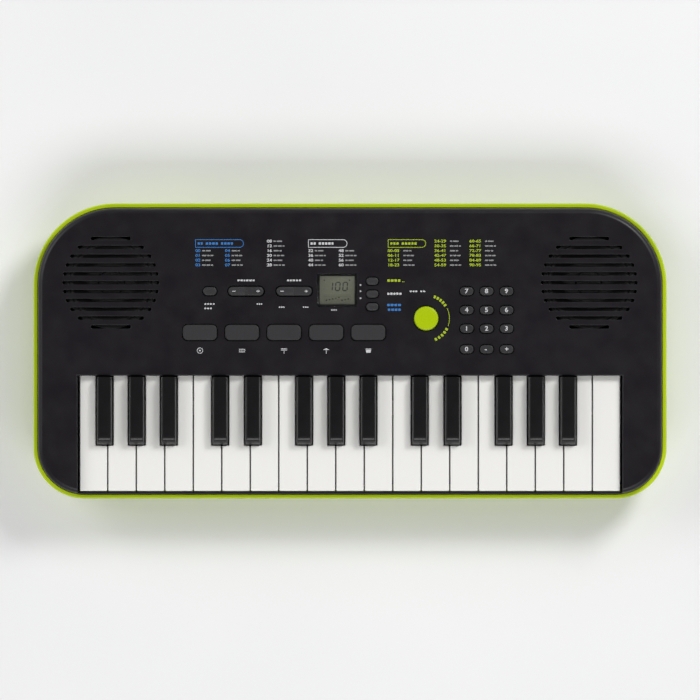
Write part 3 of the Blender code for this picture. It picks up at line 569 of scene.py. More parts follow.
def key_opening_upper():
    """Cuts down to the lip, with a rounded rim where it meets the panel."""
    edge, front, rings = 0.9, -130, []
    rim = round_edge(PANEL_Z + CUT_OVER, edge, 5)
    for out, z in [(0.0, LIP_Z), *rim, (edge + 2.0, PANEL_Z + 2.0)]:
        half, rear = OPENING_HALF_X + out, OPENING_REAR_Y + out
        rings.append([(-half, front, z), (half, front, z), (half, rear, z), (-half, rear, z)])
    return loft(rings)


def key_opening_lower():
    low = (-OPENING_HALF_X, OPENING_FRONT_Y, 20.0)
    return box(low, (OPENING_HALF_X, OPENING_REAR_Y, LIP_Z + 1.0))


def lip_chamfers():
    """Takes the corners off the lip's two long edges."""
    outer, bars = -CASE_HIGH.y + 3.1 + RIM_EXTRA, []
    steps = [(-1, 1.0), (-1, -0.6), (0, -0.5), (0.15, -0.15), (0.5, 0.0), (0.6, 1.0)]
    for y, way in ((outer, 1), (OPENING_FRONT_Y, -1)):
        profile = [(y + way * across, LIP_Z + up) for across, up in steps]
        bars += bar(profile, -OPENING_HALF_X + 0.02, OPENING_HALF_X - 0.02)
    return bars


def control_outlines():
    """The corners of every control's hole in the panel."""
    gaps = dict.fromkeys(["piano_organ_button", *PADS, *CAPSULE_BUTTONS], HOLE_CLEARANCE)
    gaps |= dict.fromkeys(ROCKERS, ROCKER_CLEARANCE)
    outlines = []
    for node, gap in gaps.items():
        radius = PAD_RADIUS + gap if node in PADS else None
        outlines.append(box_corners(*cap_of(node, FLANGE_WIDTH - gap), radius))
    top = [side + 2 * HOLE_CLEARANCE for side in SMALL_BUTTON]
    outlines += [box_corners(centre, top) for centre in keypad_centres()]
    return [*outlines, box_corners(*cap_of("display_window", WINDOW_FLANGE - PANE_GAP), 0.8)]


PADS = [f"drum_pad_{n}" for n in range(1, 6)]
CAPSULE_BUTTONS = ["power_button", "tone_button", "rhythm_button", "song_button"]
ROCKERS = ["volume_rocker", "tempo_rocker"]
SPEAKERS = {"left": "speaker_left", "right": "speaker_right"}
PAD_RADIUS = 3.5


def keypad_centres():
    centre = middle("number_keypad")
    return [(centre.x + x, centre.y + y) for y in KEYPAD_ROWS for x in KEYPAD_COLUMNS]


def slot_corners():
    """Rows of round-ended slots that fill a circle over each speaker."""
    outlines = []
    for centre in (middle(node) for node in SPEAKERS.values()):
        for row in range(SLOT_COUNT):
            offset = (row - (SLOT_COUNT - 1) / 2) * SLOT_PITCH
            half = math.sqrt(SLOT_FIELD_R**2 - offset**2)
            outlines.append(box_corners((centre.x, centre.y + offset), (2 * half, SLOT_WIDTH)))
    return outlines


def panel_holes():
    holes, z_low = [], PANEL_UNDERSIDE_Z - 2
    for corners in control_outlines():
        holes += opening(corners, z_low, PANEL_Z, steps=8)
    for corners in slot_corners():
        holes += opening(corners, z_low, PANEL_Z, edge=0.45)
    return holes


def make_top_case():
    shapes = (key_opening_lower(), key_opening_upper(), lip_chamfers(), panel_holes())
    steps = [(JOIN, cheek_walls()), *((CUT, shape) for shape in shapes)]
    piece("top_case_panel", top_case_shell(), "case_black", *steps, replaces=["top_case"])


def bottom_case_shell():
    """The tub: rolled rim, ledge, and sides that curve in to the base."""
    side = [(0.0, 33.4), (0.2, 30.0), (1.0, 25.0), (2.7, 18.0), (6.2, 10.0), (10.2, 5.4)]
    outer = smooth_curve([*side, (15.0, BASE_Z)])
    inner = [(17.5, 4.8), (12.4, 7.0), (8.4, 11.0), (5.0, 18.0), (3.6, 26.0), (5.0, 29.5)]
    rim = [(5.0, LEDGE_Z), (RIM_WIDTH, LEDGE_Z), (RIM_WIDTH, RIM_Z - 0.3)]
    rim += [(RIM_WIDTH - 0.1, RIM_Z - 0.1), (RIM_WIDTH - 0.35, RIM_Z)]
    rim = [(by + RIM_EXTRA, z) for by, z in rim]
    rim += [(1.1 - 1.1 * math.sin(a), RIM_Z - 1.1 * (1 - math.cos(a))) for a in quarter(6)]
    return loft([case_ring(by, z) for by, z in (*inner, *rim, *outer[1:])])


FEET = {m["name"]: (m["pos_m"][0] / MM, m["pos_m"][1] / MM) for m in frame["record"]["mounts"]}
FOOT_R = 8.0
SCREW_PLACES = [(-130, -64), (0, -64), (130, -64), (-188, -12), (188, -12), (-82, 70), (82, 70)]
COVER_LOW, COVER_HIGH = box_mm("battery_cover")
COVER_AXIS_Y = COVER_LOW.y + 3.4
COVER_MID_Z = (COVER_LOW.z + COVER_HIGH.z) / 2
BAY_FRONT_Y, BAY_REAR_Y, BAY_TOP_Z, BAY_HALF_X = 21.5, 80.5, 22.8, 47.0


def case_posts():
    posts = []
    for place in SCREW_PLACES:
        posts += lathe(place, [(5.2, BASE_Z + 0.8), (5.2, 12.0)], 32)
    for place in FEET.values():
        posts += lathe(place, [(9.4, BASE_Z + 1.0), (9.4, 1.7), (9.1, 1.4)])
    return posts


def case_details():
    """Tongue pockets, screw wells, foot recesses and socket holes."""
    cuts = []
    for x in TONGUE_PLACES:
        low = (x - 5.4, COVER_AXIS_Y - 3.9, 2.6)
        cuts += box(low, (x + 5.4, COVER_AXIS_Y + 1.0, COVER_MID_Z + 3.9))
    for place in SCREW_PLACES:
        cuts += lathe(place, [(4.6, 1.6), (3.7, 2.6), (3.4, 3.0), (3.4, 10.0)], 32)
    for place in FEET.values():
        cuts += lathe(place, [(FOOT_R + 0.2, 0.5), (FOOT_R + 0.2, 2.1)])
    mouth = [(4.2, 90.0), (4.2, 101.0), (4.45, 101.5), (5.1, 102.2), (6.0, 103.4), (7.0, 106.0)]
    for centre in (middle("headphone_socket"), middle("dc_socket")):
        cuts += lying_lathe((centre.x, centre.z), mouth)
    return cuts


def make_bottom_case():
    bay = box((-49.2, BAY_FRONT_Y - 2.2, 3.0), (49.2, BAY_REAR_Y + 2.2, BAY_TOP_Z + 2.2))
    bay_flange = box((-53.5, 18.5, 3.2), (53.5, 87.5, 7.4))
    bay_hollow = box((-BAY_HALF_X, BAY_FRONT_Y, 4.1), (BAY_HALF_X, BAY_REAR_Y, BAY_TOP_Z))
    corners = box_corners((0.0, 53.0), (101.0, 63.1), 0.8)
    cover_recess = stack(corners, [(-0.9, 1.2), (-0.4, 2.4), (0.0, 2.9), (0.0, 5.1)])
    corners = box_corners((-110.0, 20.0), (62.0, 30.0), 2.0)
    rating_plate = stack(corners, [(-0.3, 1.9), (0.0, 2.5), (0.0, 2.8)])
    steps = [(JOIN, shape) for shape in (bay, bay_flange, case_posts())]
    steps += [(CUT, shape) for shape in (bay_hollow, cover_recess, case_details(), rating_plate)]
    piece("bottom_case_tub", bottom_case_shell(), "case_lime", *steps, replaces=["bottom_case"])


def make_feet():
    """Rubber pads in the foot recesses, with a ring moulded in each."""
    profile = [(FOOT_R, 2.0), (FOOT_R, 0.5), (FOOT_R - 0.15, 0.15), (FOOT_R - 0.5, 0.0)]
    profile += [(4.4, 0.0), (4.2, 0.3), (3.6, 0.3), (3.4, 0.0)]
    for name, place in FEET.items():
        piece(f"{name}_pad", lathe(place, profile), "foot_rubber", slot="contact_rubber")


def make_screws():
    """Cross-head screws at the bottom of the wells."""
    head = [(0.6, 9.9), (2.9, 9.9), (2.9, 9.0), (2.6, 8.4), (1.9, 7.9), (1.0, 7.7)]
    slots = [box((-x, -y, 6.0), (x, y, 8.9)) for x, y in ((1.5, 0.33), (0.33, 1.5))]
    mesh = combine("case_screw", lathe(AXIS, head, 32), *((CUT, slot) for slot in slots))
    for number, (x, y) in enumerate(SCREW_PLACES, 1):
        piece(f"case_screw_{number}", mesh, "steel", at=(x, y, 0.0))


def make_battery_cover():
    """The cover with its tongues, freed snap tab, finger grip ribs and rounded rim."""
    node, front, rear = "battery_cover", COVER_AXIS_Y - 1.0, COVER_HIGH.y
    low, high = COVER_LOW.z, COVER_HIGH.z
    corners = box_corners((0.0, (front + rear) / 2), (COVER_HIGH.x * 2, rear - front), 0.6)
    plate = stack(corners, [(0.0, high), (0.0, low + 0.5), (0.12, low + 0.2), (0.45, low)])
    tongues, slits, grip = [], [], []
    for x in TONGUE_PLACES:
        tip = (x - 5.0, COVER_LOW.y, COVER_MID_Z - 0.6)
        tongues += box(tip, (x + 5.0, front + 3.0, COVER_MID_Z + 0.6))
    for x in (-8.6, 8.6):
        slits += box((x - 0.6, rear - 14.0, low - 1), (x + 0.6, rear + 2.0, high + 1))
    for y in (rear - 3.4 - 2.4 * row for row in range(4)):
        grip += box((-6.0, y - 0.5, low - 1.0), (6.0, y + 0.5, low + 0.45))
    points = [(-4.0, rear - 22.0), (4.0, rear - 22.0), (0.0, rear - 17.0)]
    arrow = prism(points, low - 1.0, low + 0.35)
    steps = [(JOIN, tongues), (CUT, slits), (CUT, grip), (CUT, arrow)]
    piece("battery_cover_plate", plate, "case_lime", *steps, body=node, replaces=[node])


# ---- keys


def neck_edges(name):
    """A natural's left and right edges beside the sharps, from the sharps' own boxes."""
    low, high = box_mm(name)
    left, right = low.x, high.x
    for sharp in SHARPS:
        sharp_low, sharp_high = box_mm(sharp)
        if sharp_low.x < low.x < sharp_high.x:
            left = sharp_high.x + SHARP_GAP
        if sharp_low.x < high.x < sharp_high.x:
            right = sharp_low.x - SHARP_GAP
    return left, right


def natural_corners(width, neck_left, neck_right, front, notch, rear):
    """A natural's plan, with a step on each side where a sharp stands."""
    corners = [(0.0, front, 0.7), (width, front, 0.7)]
    if neck_right < width - 0.1:
        corners += [(width, notch, 0.6), (neck_right, notch, 0.5)]
    corners += [(neck_right, rear, 0.3), (neck_left, rear, 0.3)]
    if neck_left > 0.1:
        corners += [(neck_left, notch, 0.5), (0.0, notch, 0.6)]
    return corners


def saddle(x_low, x_high):
    """A cutter for the round-topped notch that sits on the rod."""
    profile = arc((ROD.y, ROD.z), SADDLE_R, 0, 180, 16)
    profile = [(ROD.y + SADDLE_R, 27.0), *profile, (ROD.y - SADDLE_R, 27.0)]
    return bar(profile, x_low, x_high)


def natural_mesh(name, width, neck_left, neck_right):
    """A hollow natural with soft edges: outer shell, cross rib, front skirt, stem and saddle."""
    low, high = box_mm(name)
    notch = box_mm(SHARPS[0])[0].y - SHARP_GAP
    rear, skirt = -16.0, low.z + 2.0
    corners = natural_corners(width, neck_left, neck_right, low.y, notch, rear)
    shell = stack(corners, [(0.0, low.z), *round_edge(high.z, 0.8, 5)])
    inner = [(KEY_WALL, skirt - 2.0), (KEY_WALL, high.z - 2.6), (KEY_WALL + 0.6, high.z - 2.0)]
    rib = box((neck_left + 0.8, -41.0, skirt), (neck_right - 0.8, -39.0, high.z - 1.5))
    below_skirt = box((-5.0, low.y + KEY_WALL, low.z - 5.0), (width + 5.0, 50.0, skirt))
    start = (neck_left + STEM_STEP, rear - 1.0, skirt + 0.02)
    stem = box(start, (neck_right - STEM_STEP, high.y, STEM_TOP))
    steps = [(CUT, stack(corners, inner)), (JOIN, rib), (CUT, below_skirt), (JOIN, stem)]
    return combine("natural_fine", shell, *steps, (CUT, saddle(-2.0, width + 2.0)))


SHARP_STATIONS = [
    # distance from the front, height of the top, how far each side is pinched in
    (0.0, 44.0, 0.55), (0.25, 45.1, 0.2), (0.8, 46.5, 0.0), (1.9, 48.5, 0.0),
    (2.9, 49.7, 0.0), (3.8, 50.3, 0.0), (4.9, 50.62, 0.0), (6.9, 50.78, 0.0),
    (25.0, 50.92, 0.0), (47.2, 51.0, 0.0), (47.5, 50.95, 0.1), (47.7, 50.7, 0.35),
]


def sharp_section(y, top, pinch, half, skirt):
    """A section through a sharp: straight sides that lean in higher up, and round top edges."""
    lean = 0.9 * max(top - 43.4, 0.0) / 7.6
    side = half - pinch
    points = [(side, skirt), (side, 43.4 - 0.4 * (top < 44.5))]
    shoulder = side - lean
    for a in quarter(5):
        points.append((shoulder - 1.0 * (1 - math.cos(a)), top - 1.0 * (1 - math.sin(a))))
    points = [(x, min(z, top)) for x, z in points]
    outline = points + [(-x, z) for x, z in reversed(points)]
    return [(x, y, z) for x, z in outline]


def sharp_mesh(name):
    low, high = box_mm(name)
    half = (high.x - low.x) / 2
    front, rear, skirt = low.y, -18.2, 33.0
    sections = [sharp_section(front + y, top, by, half, skirt) for y, top, by in SHARP_STATIONS]
    start = (-half + STEM_STEP, rear - 1.2, skirt + 0.2)
    stem = box(start, (half - STEM_STEP, high.y, STEM_TOP))
    profile = [(front + 2.2, 30.0), (front + 2.2, 44.0), (front + 4.8, 48.0)]
    profile += [(-41.0, 48.0), (-41.0, 30.0)]
    hollow = bar(profile, -3.9, 3.9) + box((-3.9, -39.0, 30.0), (3.9, rear - 2.0, 48.0))
    steps = [(JOIN, stem), (CUT, saddle(-8.0, 8.0)), (CUT, hollow)]
    return combine("sharp_fine", loft(sections), *steps)


def make_keys():
    """Naturals of one shape share a mesh, and so do the sharps."""
    shapes = {}
    for name in NATURALS:
        low, high = box_mm(name)
        left, right = neck_edges(name)
        shape = tuple(round(v, 2) for v in (high.x - low.x, left - low.x, right - low.x))
        if shape not in shapes:
            shapes[shape] = natural_mesh(name, *shape)
        at = (low.x, 0.0, 0.0)
        piece(f"{name}_top", shapes[shape], "key_white", body=name, replaces=[name], at=at)
    sharp = sharp_mesh(SHARPS[0])
    for name in SHARPS:
        at = (middle(name).x, 0.0, 0.0)
        piece(f"{name}_top", sharp, "key_black", body=name, replaces=[name], at=at)


def make_contact_domes():
    """The rubber strip, and a dome under each key."""
    node = "contact_rubber"
    low, high = box_mm(node)
    y = (low.y + high.y) / 2
    corners = box_corners((0.0, y), (high.x - low.x, high.y - low.y), 1.0)
    strip = block(corners, low.z, low.z + 1.0, 0.2)
    piece("contact_strip", strip, node, replaces=[node])
    profile = [(4.2, low.z + 0.9), (4.2, low.z + 1.2), (3.6, low.z + 1.5), (2.9, high.z - 0.9)]
    profile += [(2.7, high.z - 0.3), (2.4, high.z)]
    for name in NATURALS + SHARPS:
        x = sum(neck_edges(name)) / 2 if name in NATURALS else middle(name).x
        dome = piece(f"contact_dome_{name}", lathe((x, y), profile, 20), node)
        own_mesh(dome)


# ---- controls


def make_button(node, material, dish, edge, radius=None):
    """A cap with a rounded edge, its flange under the panel, and its plunger."""
    low, high = box_mm(node)
    centre, size = cap_of(node)
    corners = box_corners(centre, size, radius)
    flange_low, flange_high = PANEL_UNDERSIDE_Z - 1.7, PANEL_UNDERSIDE_Z - 0.3
    cap = block(corners, flange_low + 0.2, high.z, edge, dish, CAP_STEPS)
    flange = slab(corners, flange_low, flange_high, by=-FLANGE_WIDTH, steps=CAP_STEPS)
    stem = lathe(centre, [(1.4, low.z), (1.6, low.z + 0.2), (1.6, flange_low + 0.2)], 20)
    steps = [(JOIN, flange), (JOIN, stem)]
    piece(f"{node}_cap", cap, material, *steps, body=node, replaces=[node])


def make_rocker(node):
    """A long cap that dips in the middle, over its thin flange."""
    low, high = box_mm(node)
    (x, y), size = cap_of(node)
    corners = box_corners((x, y), size)
    cap = block(corners, low.z + 0.9, high.z, 1.1, 0.25, CAP_STEPS)
    flange = slab(corners, low.z, low.z + 1.1, by=-FLANGE_WIDTH, steps=CAP_STEPS)
    dip = [(-2.3, 0.9), (-1.5, 0.15), (-0.7, -0.25), (0.0, -0.4)]
    dip += [(-across, up) for across, up in dip[-2::-1]]
    waist = []
    for end in (y - 6.0, y + 6.0):
        waist.append([(x + across, end, high.z + up - 0.15) for across, up in dip])
    steps = [(JOIN, flange), (CUT, loft(waist))]
    piece(f"{node}_cap", cap, "button_grey", *steps, body=node, replaces=[node])


def make_number_keypad():
    node, tops = "number_keypad", []
    low, high = box_mm(node)
    sheet_top = low.z + 1.4
    for place in keypad_centres():
        corners = box_corners(place, SMALL_BUTTON)
        tops += block(corners, sheet_top - 0.5, high.z, 0.8, steps=CAP_STEPS)
    sheet, step = slab(plan_of(node, 2.0), low.z, sheet_top), (JOIN, tops)
    piece("number_keypad_sheet", sheet, "button_grey", step, body=node, replaces=[node])


def make_controls():
    make_button("piano_organ_button", "button_lime", 0.35, 1.3)
    for pad in PADS:
        make_button(pad, "pad_rubber", 0.0, 1.1, radius=PAD_RADIUS)
    for node in CAPSULE_BUTTONS:
        make_button(node, "button_grey", 0.2, 0.9)
    for node in ROCKERS:
        make_rocker(node)
    make_number_keypad()


# ---- display and sockets


def make_display():
    """The clear window over the liquid-crystal panel, which shows a number and a small staff."""
    window, module = "display_window", "display_module"
    low, high = box_mm(window)
    (x, y), size = cap_of(window, WINDOW_FLANGE)
    corners = box_corners((x, y), size, 0.7)
    flange = slab(plan_of(window, 1.0), low.z, low.z + 1.2)
    pane = (JOIN, block(corners, low.z + 0.4, high.z, 0.3))
    piece("display_window_pane", flange, "window_clear", pane, replaces=[window])

    low, high = box_mm(module)
    top = high.z
    panel = block(plan_of(module, 0.4), low.z, top, 0.15)
    piece("display_panel", panel, "display_glass", replaces=[module])
    profile = [(-1.4, top + 0.02), (1.5, top + 0.02), (1.5, top + 0.08), (-1.4, top + 0.08)]
    mask = stack(corners, profile, closed=True)
    piece("display_mask", mask, "ink_dark", slot="case_black")

    z_low, z_high, shown = top - 0.02, top + 0.05, []
    for number, digit in enumerate("100"):
        shown += segment_digit(digit, x - 6.3 + number * 5.2, y + 2.6, z_low, z_high)
    for line_y in (y - 3.4 - line * 1.05 for line in range(5)):
        shown += box((x - 9.6, line_y - 0.07, z_low), (x + 9.6, line_y + 0.07, z_high))
    for step in range(8):
        note = (x - 7.6 + 2.2 * step, y - 7.2 + 0.52 * (step % 5))
        shown += prism(circle(note, 0.5, 14), z_low, z_high)
    for mark_x in (x - 9.0, x + 8.6):
        shown += box((mark_x - 0.5, y + 6.6, z_low), (mark_x + 0.5, y + 7.4, z_high))
    piece("display_segments", shown, "segments", slot="display_glass")


# A digit's strokes run round this loop, in digit widths across and half heights up
DIGIT_LOOP = [(0, 1), (1, 1), (1, 0), (1, -1), (0, -1), (0, 0)]
DIGIT_STROKES = {"0": range(6), "1": (1, 2)}
SEGMENT_SIZE, SEGMENT_HALF, SEGMENT_SLANT, SEGMENT_TRIM = (3.0, 2.9), 0.42, 0.25, 0.12


def stroke(start, end, z_low, z_high):
    """A bar with pointed ends between two points."""
    start, end = Vector(start), Vector(end)
    along = (end - start).normalized()
    across = Vector((-along.y, along.x)) * SEGMENT_HALF
    first, last = start + along * SEGMENT_TRIM, end - along * SEGMENT_TRIM
    tip_a, tip_b = first + along * SEGMENT_HALF, last - along * SEGMENT_HALF
    outline = [first, tip_a - across, tip_b - across, last, tip_b + across, tip_a + across]
    return prism(outline, z_low, z_high)


def segment_digit(digit, x, y, z_low, z_high):
    """A seven-segment digit with a slight slant."""
    (width, half_height), strokes = SEGMENT_SIZE, []
    loop = [(x + u * width + SEGMENT_SLANT * v, y + v * half_height) for u, v in DIGIT_LOOP]
    for k in DIGIT_STROKES[digit]:
        strokes += stroke(loop[k], loop[(k + 1) % len(loop)], z_low, z_high)
    return strokes


def make_speakers():
    """Each speaker's frame, magnet, rolled surround, cone and dust cap, seen through the slots."""
    basket = [(14.0, 25.0), (14.0, 31.0), (18.0, 32.0), (28.0, 42.6), (32.3, 43.2), (32.5, 43.5)]
    basket += [(32.5, 44.9), (32.3, 45.1), (29.4, 45.1), (29.2, 44.4), (9.0, 36.6)]
    cone = smooth_curve([(29.2, 44.3), (28.0, 45.0), (26.8, 44.9), (25.4, 43.9)], 4)
    cone += smooth_curve([(25.2, 43.8), (20.0, 41.6), (14.0, 39.0), (9.4, 37.3)], 4)
    under = [(r, z - 0.25) for r, z in reversed(cone)]
    cap = [(8.8 * math.cos(a), 37.4 + 2.6 * math.sin(a)) for a in quarter(7)][:-1]
    shapes = {
        "frame": (lathe(AXIS, basket, 64), "speaker_metal"),
        "cone": (lathe(AXIS, [*under, *cone], 64, closed=True), "speaker_cone"),
        "cap": (lathe(AXIS, [(8.8, 37.2), *cap], 48), "speaker_cone"),
    }
    for side, node in SPEAKERS.items():
        at = (middle(node).x, middle(node).y, 0.0)
        for name, (shape, look) in shapes.items():
            made = piece(f"speaker_{name}_{side}", shape, look, slot="speaker_metal", at=at)
            if name == "frame":
                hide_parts(node)


def make_socket(node, hole, pin):
    """A panel socket with a plated sleeve, and a pin unless its radius is 0. hole is a radius."""
    low, high = box_mm(node)
    centre, rear = middle(node), 96.8
    place = (centre.x, centre.z)
    corners = box_corners((centre.x, (low.y + rear) / 2), (11.0, rear - low.y), 0.6)
    body = block(corners, low.z, high.z, 0.4)
    neck = lying_lathe(place, [(3.8, 94.8), (3.8, 101.0), (3.4, 101.4)])
    mouth = [(hole, low.y + 2.0), (hole, 100.6), (hole + 0.5, 101.2), (hole + 1.2, 103.0)]
    steps = [(JOIN, neck), (CUT, lying_lathe(place, mouth))]
    piece(f"{node}_body", body, "socket_plastic", *steps, replaces=[node])
    outer, inner = hole - 0.02, hole - 0.3
    sleeve = [(outer, 88.6), (outer, 100.4), (inner, 100.4), (inner, 88.6)]
    piece(f"{node}_sleeve", lying_lathe(place, sleeve, closed=True), "steel")
    if pin:
        shape = lying_lathe(place, [(pin, 87.5), (pin, 99.4), (pin - 0.3, 99.9)], 24)
        piece(f"{node}_pin", shape, "steel")


def make_battery_contacts():
    """The contact strip with a coil spring for each of the six cells."""
    node, turns, steps = "battery_contacts", 3, 72
    low, high = box_mm(node)
    front, z = high.y - 0.8, (low.z + high.z) / 2
    piece("contact_strip_plate", box((low.x, front, low.z), high), "steel", replaces=[node])
    for cell in range(6):
        name, path = f"contact_spring_{cell + 1}", []
        for part in (k / steps for k in range(steps + 1)):
            angle, radius = part * turns * 2 * math.pi, 4.4 - 2.4 * part
            x = (cell - 2.5) * 14.8 + radius * math.cos(angle)
            path.append((x, front - 0.35 - 2.2 * part, z + radius * math.sin(angle)))
        piece(name, tube(name, path, 0.3), "steel")


def curve_mesh(name, curve):
    """The closed mesh of a curve or text."""
    carrier = placed(name, curve)
    mesh = evaluated_mesh(carrier)
    bpy.data.objects.remove(carrier)
    return mesh


def tube(name, path, radius):
    """A wire along a path, as a closed mesh."""
    curve = bpy.data.curves.new(name, "CURVE")
    curve.dimensions = "3D"
    curve.bevel_depth = radius * MM
    curve.bevel_resolution = 2
    curve.use_fill_caps = True
    spline = curve.splines.new("POLY")
    spline.points.add(len(path) - 1)
    for point, place in zip(spline.points, path):
        point.co = (*(Vector(place) * MM), 1.0)
    mesh = curve_mesh(name, curve)
    mesh.materials.clear()
    return mesh


# ---- prints


def mark(corners, z=PANEL_Z, steps=5):
    """A flat printed patch that stands a hair above the surface."""
    return slab(corners, z - PRINT_THICK, z + PRINT_THICK, steps=steps)


DIGIT_BOLD = 0.035
EM_PER_DIGIT = 1.4


def digits_mesh(name, entries, size, widen):
    """Plain bold numbers laid flat: entries are (text, x, y, z), size the digit height."""
    bm = bmesh.new()
    for text, x, y, z in entries:
        curve = bpy.data.curves.new(name, "FONT")
        curve.body = text
        curve.size = size * MM * EM_PER_DIGIT
        curve.align_x, curve.align_y = "LEFT", "CENTER"
        curve.extrude = PRINT_THICK * MM
        curve.offset = size * MM * DIGIT_BOLD
        curve.resolution_u = 3
        mesh = curve_mesh(name, curve)
        for vertex in mesh.vertices:
            vertex.co.x *= widen
            vertex.co += Vector((x, y, z)) * MM
        bm.from_mesh(mesh)
        bpy.data.meshes.remove(mesh)
    bmesh.ops.remove_doubles(bm, verts=bm.verts, dist=1e-8)
    return mesh_of(name, bm)


def arc_line(centre, radius, start, end, half):
    """A thin printed arc."""
    points = arc(centre, radius + half, start, end, 24)
    points += arc(centre, radius - half, end, start, 24)
    return prism(points, PANEL_Z - PRINT_THICK, PANEL_Z + PRINT_THICK)


def arc_marks(centre, radius, start, end, count):
    """Small upright marks spaced round an arc, where the real panel has a short word."""
    marks = []
    for k in range(count):
        angle = math.radians(start + (end - start) * k / (count - 1))
        out = Vector((math.cos(angle), math.sin(angle)))
        along = Vector((-out.y, out.x)) * 0.8
        place = Vector(centre) + out * radius
        corners = [place + out * u + along * v for u, v in ((-1, -1), (1, -1), (1, 1), (-1, 1))]
        marks += mark([(corner.x, corner.y, 0.2) for corner in corners], steps=2)
    return marks


ROW_PITCH = 3.35
ROWS = [77.1 - ROW_PITCH * row for row in range(6)]
BAR_SETS = [(2.2, 3.4), (3.0, 1.8, 2.0), (1.6, 3.8), (2.6, 2.6, 1.4), (3.6, 1.6), (1.8, 2.2, 2.4)]
LISTS = {
    # name: colour, first number, step between rows, columns of (x, first row)
    "song": ("blue", 0, 1, ((-108.6, 2), (-87.8, 2))),
    "rhythm": ("white", 8, 4, ((-58.4, 0), (-29.4, 2), (-8.0, 2))),
    "tone": ("lime", 0, 6, ((26.4, 2), (59.2, 0), (83.8, 0))),
}
TABS = {
    # x low, x high, and the widths of the bars inside
    "blue": (-108.7, -74.6, (1.5, 1.5, 0, 1.6, 1.7, 1.8, 1.7, 0, 1.6, 1.7, 1.7, 1.6)),
    "white": (-29.4, -1.9, (1.5, 1.5, 0, 1.6, 1.7, 1.6, 1.7, 1.4)),
    "lime": (26.6, 53.4, (1.5, 1.6, 1.6, 0, 1.6, 1.7, 1.7, 1.5, 1.6)),
}
TAB_LOW_Y, TAB_HIGH_Y, TAB_LINE = 72.6, 78.4, 0.42
DIGIT_HEIGHT = 2.0
ROCKER_LABELS = {
    "volume_rocker": (1.5, 1.6, 1.2, 1.6, 1.8, 1.3),
    "tempo_rocker": (1.3, 1.3, 1.8, 1.4, 1.6),
}
SMALL_LABELS = ((-65.5, 33.0), (-49.9, 30.8), (-33.1, 30.8), (-13.2, 28.8))


def list_rows(columns):
    """Each row's place in a list, down one column after the other."""
    return [(x, y) for x, first in columns for y in ROWS[first:]]


def tab(colour):
    """A heading: an outline with a round right end, and blocks in place of its words."""
    x_low, x_high, widths = TABS[colour]
    end = (TAB_HIGH_Y - TAB_LOW_Y) / 2 - 0.02
    corners = [(x_low, TAB_LOW_Y, 0.3), (x_high, TAB_LOW_Y, end)]
    corners += [(x_high, TAB_HIGH_Y, end), (x_low, TAB_HIGH_Y, 0.3)]
    low, high = PANEL_Z - PRINT_THICK, PANEL_Z + PRINT_THICK
    sides = [(0.0, low), (0.0, high), (TAB_LINE, high), (TAB_LINE, low)]
    words = letters(x_low + 1.7, (TAB_LOW_Y + TAB_HIGH_Y) / 2, widths, 1.7)
    return stack(corners, sides, 12, closed=True) + words


def letters(x, y, widths, height, gap=0.6, corner=0.2):
    """Plain blocks, one for each letter of a word that isn't drawn. A width of 0 is a space."""
    blocks = []
    for width in widths:
        if width:
            blocks += mark(box_corners((x + width / 2, y), (width, height), corner), steps=2)
        x += (width or 0.9) + gap
    return blocks


def print_grey():
    """The bars that stand for the words of the three lists."""
    places = []
    for name, (_, _, _, columns) in LISTS.items():
        indent = 11.0 if name == "tone" else 4.7
        places += [(x + indent, y) for x, y in list_rows(columns)]
    bars = []
    for turn, (x, y) in enumerate(places):
        bars += letters(x, y, BAR_SETS[turn % len(BAR_SETS)], 0.95, gap=0.55, corner=0.18)
    return bars


def print_white():
    """The rhythm heading, the labels by the controls, and the drum icons."""
    shape = tab("white")
    for node, widths in ROCKER_LABELS.items():
        half = (sum(widths) + 0.6 * (len(widths) - 1)) / 2
        shape += letters(cap_of(node)[0][0] - half, 49.6, widths, 1.2)
    x = cap_of("power_button")[0][0] - 3.9
    shape += letters(x, 33.0, (1.4, 1.3, 1.5, 1.2), 1.0) + letters(x, 29.9, (1.3, 1.5, 1.3), 1.0)
    y = cap_of("rhythm_button")[0][1] + 0.2
    shape += letters(26.2, y, (1.5, 1.6, 1.4, 1.5, 1.6), 1.5)
    shape += letters(42.0, 41.9, (1.4, 1.2, 1.5, 0, 1.3, 1.5), 1.1)
    for x, y in SMALL_LABELS:
        shape += letters(x, y, (1.0, 1.1, 0.9), 0.9, gap=0.45)
    for y in (46.3, 42.0, 37.1):
        shape += mark([(6.9, y - 0.75, 0.1), (8.3, y, 0.1), (6.9, y + 0.75, 0.1)], steps=2)
    for number, node in enumerate(PADS):
        shape += drum_icon(number, cap_of(node)[0][0], 0.3)
    return shape


ICON_BARS = (
    # bars for each pad: across, up, width, height, corner radius
    [(0, 0, 1.2, 1.2, 0.58)],
    [(0, up, 4.2, 0.4, 0.15) for up in (-0.95, 0.95)]
    + [(across, 0, 0.32, 1.4, 0.1) for across in (-1.9, -0.65, 0.65, 1.9)],
    [(0, 0.35, 4.4, 0.42, 0.2), (0, 1.25, 4.4, 0.42, 0.2), (0, -1.15, 0.4, 2.2, 0.15)],
    [(0, -0.95, 0.4, 2.5, 0.15)],
    [(0, 1.2, 4.2, 0.4, 0.15)],
)
ICON_CORNERS = {
    3: [(-2.4, 0.5, 0.1), (2.4, 0.5, 0.1), (0.0, 1.6, 0.3)],
    4: [(-1.5, -1.5, 0.3), (1.5, -1.5, 0.3), (1.9, 0.7, 0.1), (-1.9, 0.7, 0.1)],
}


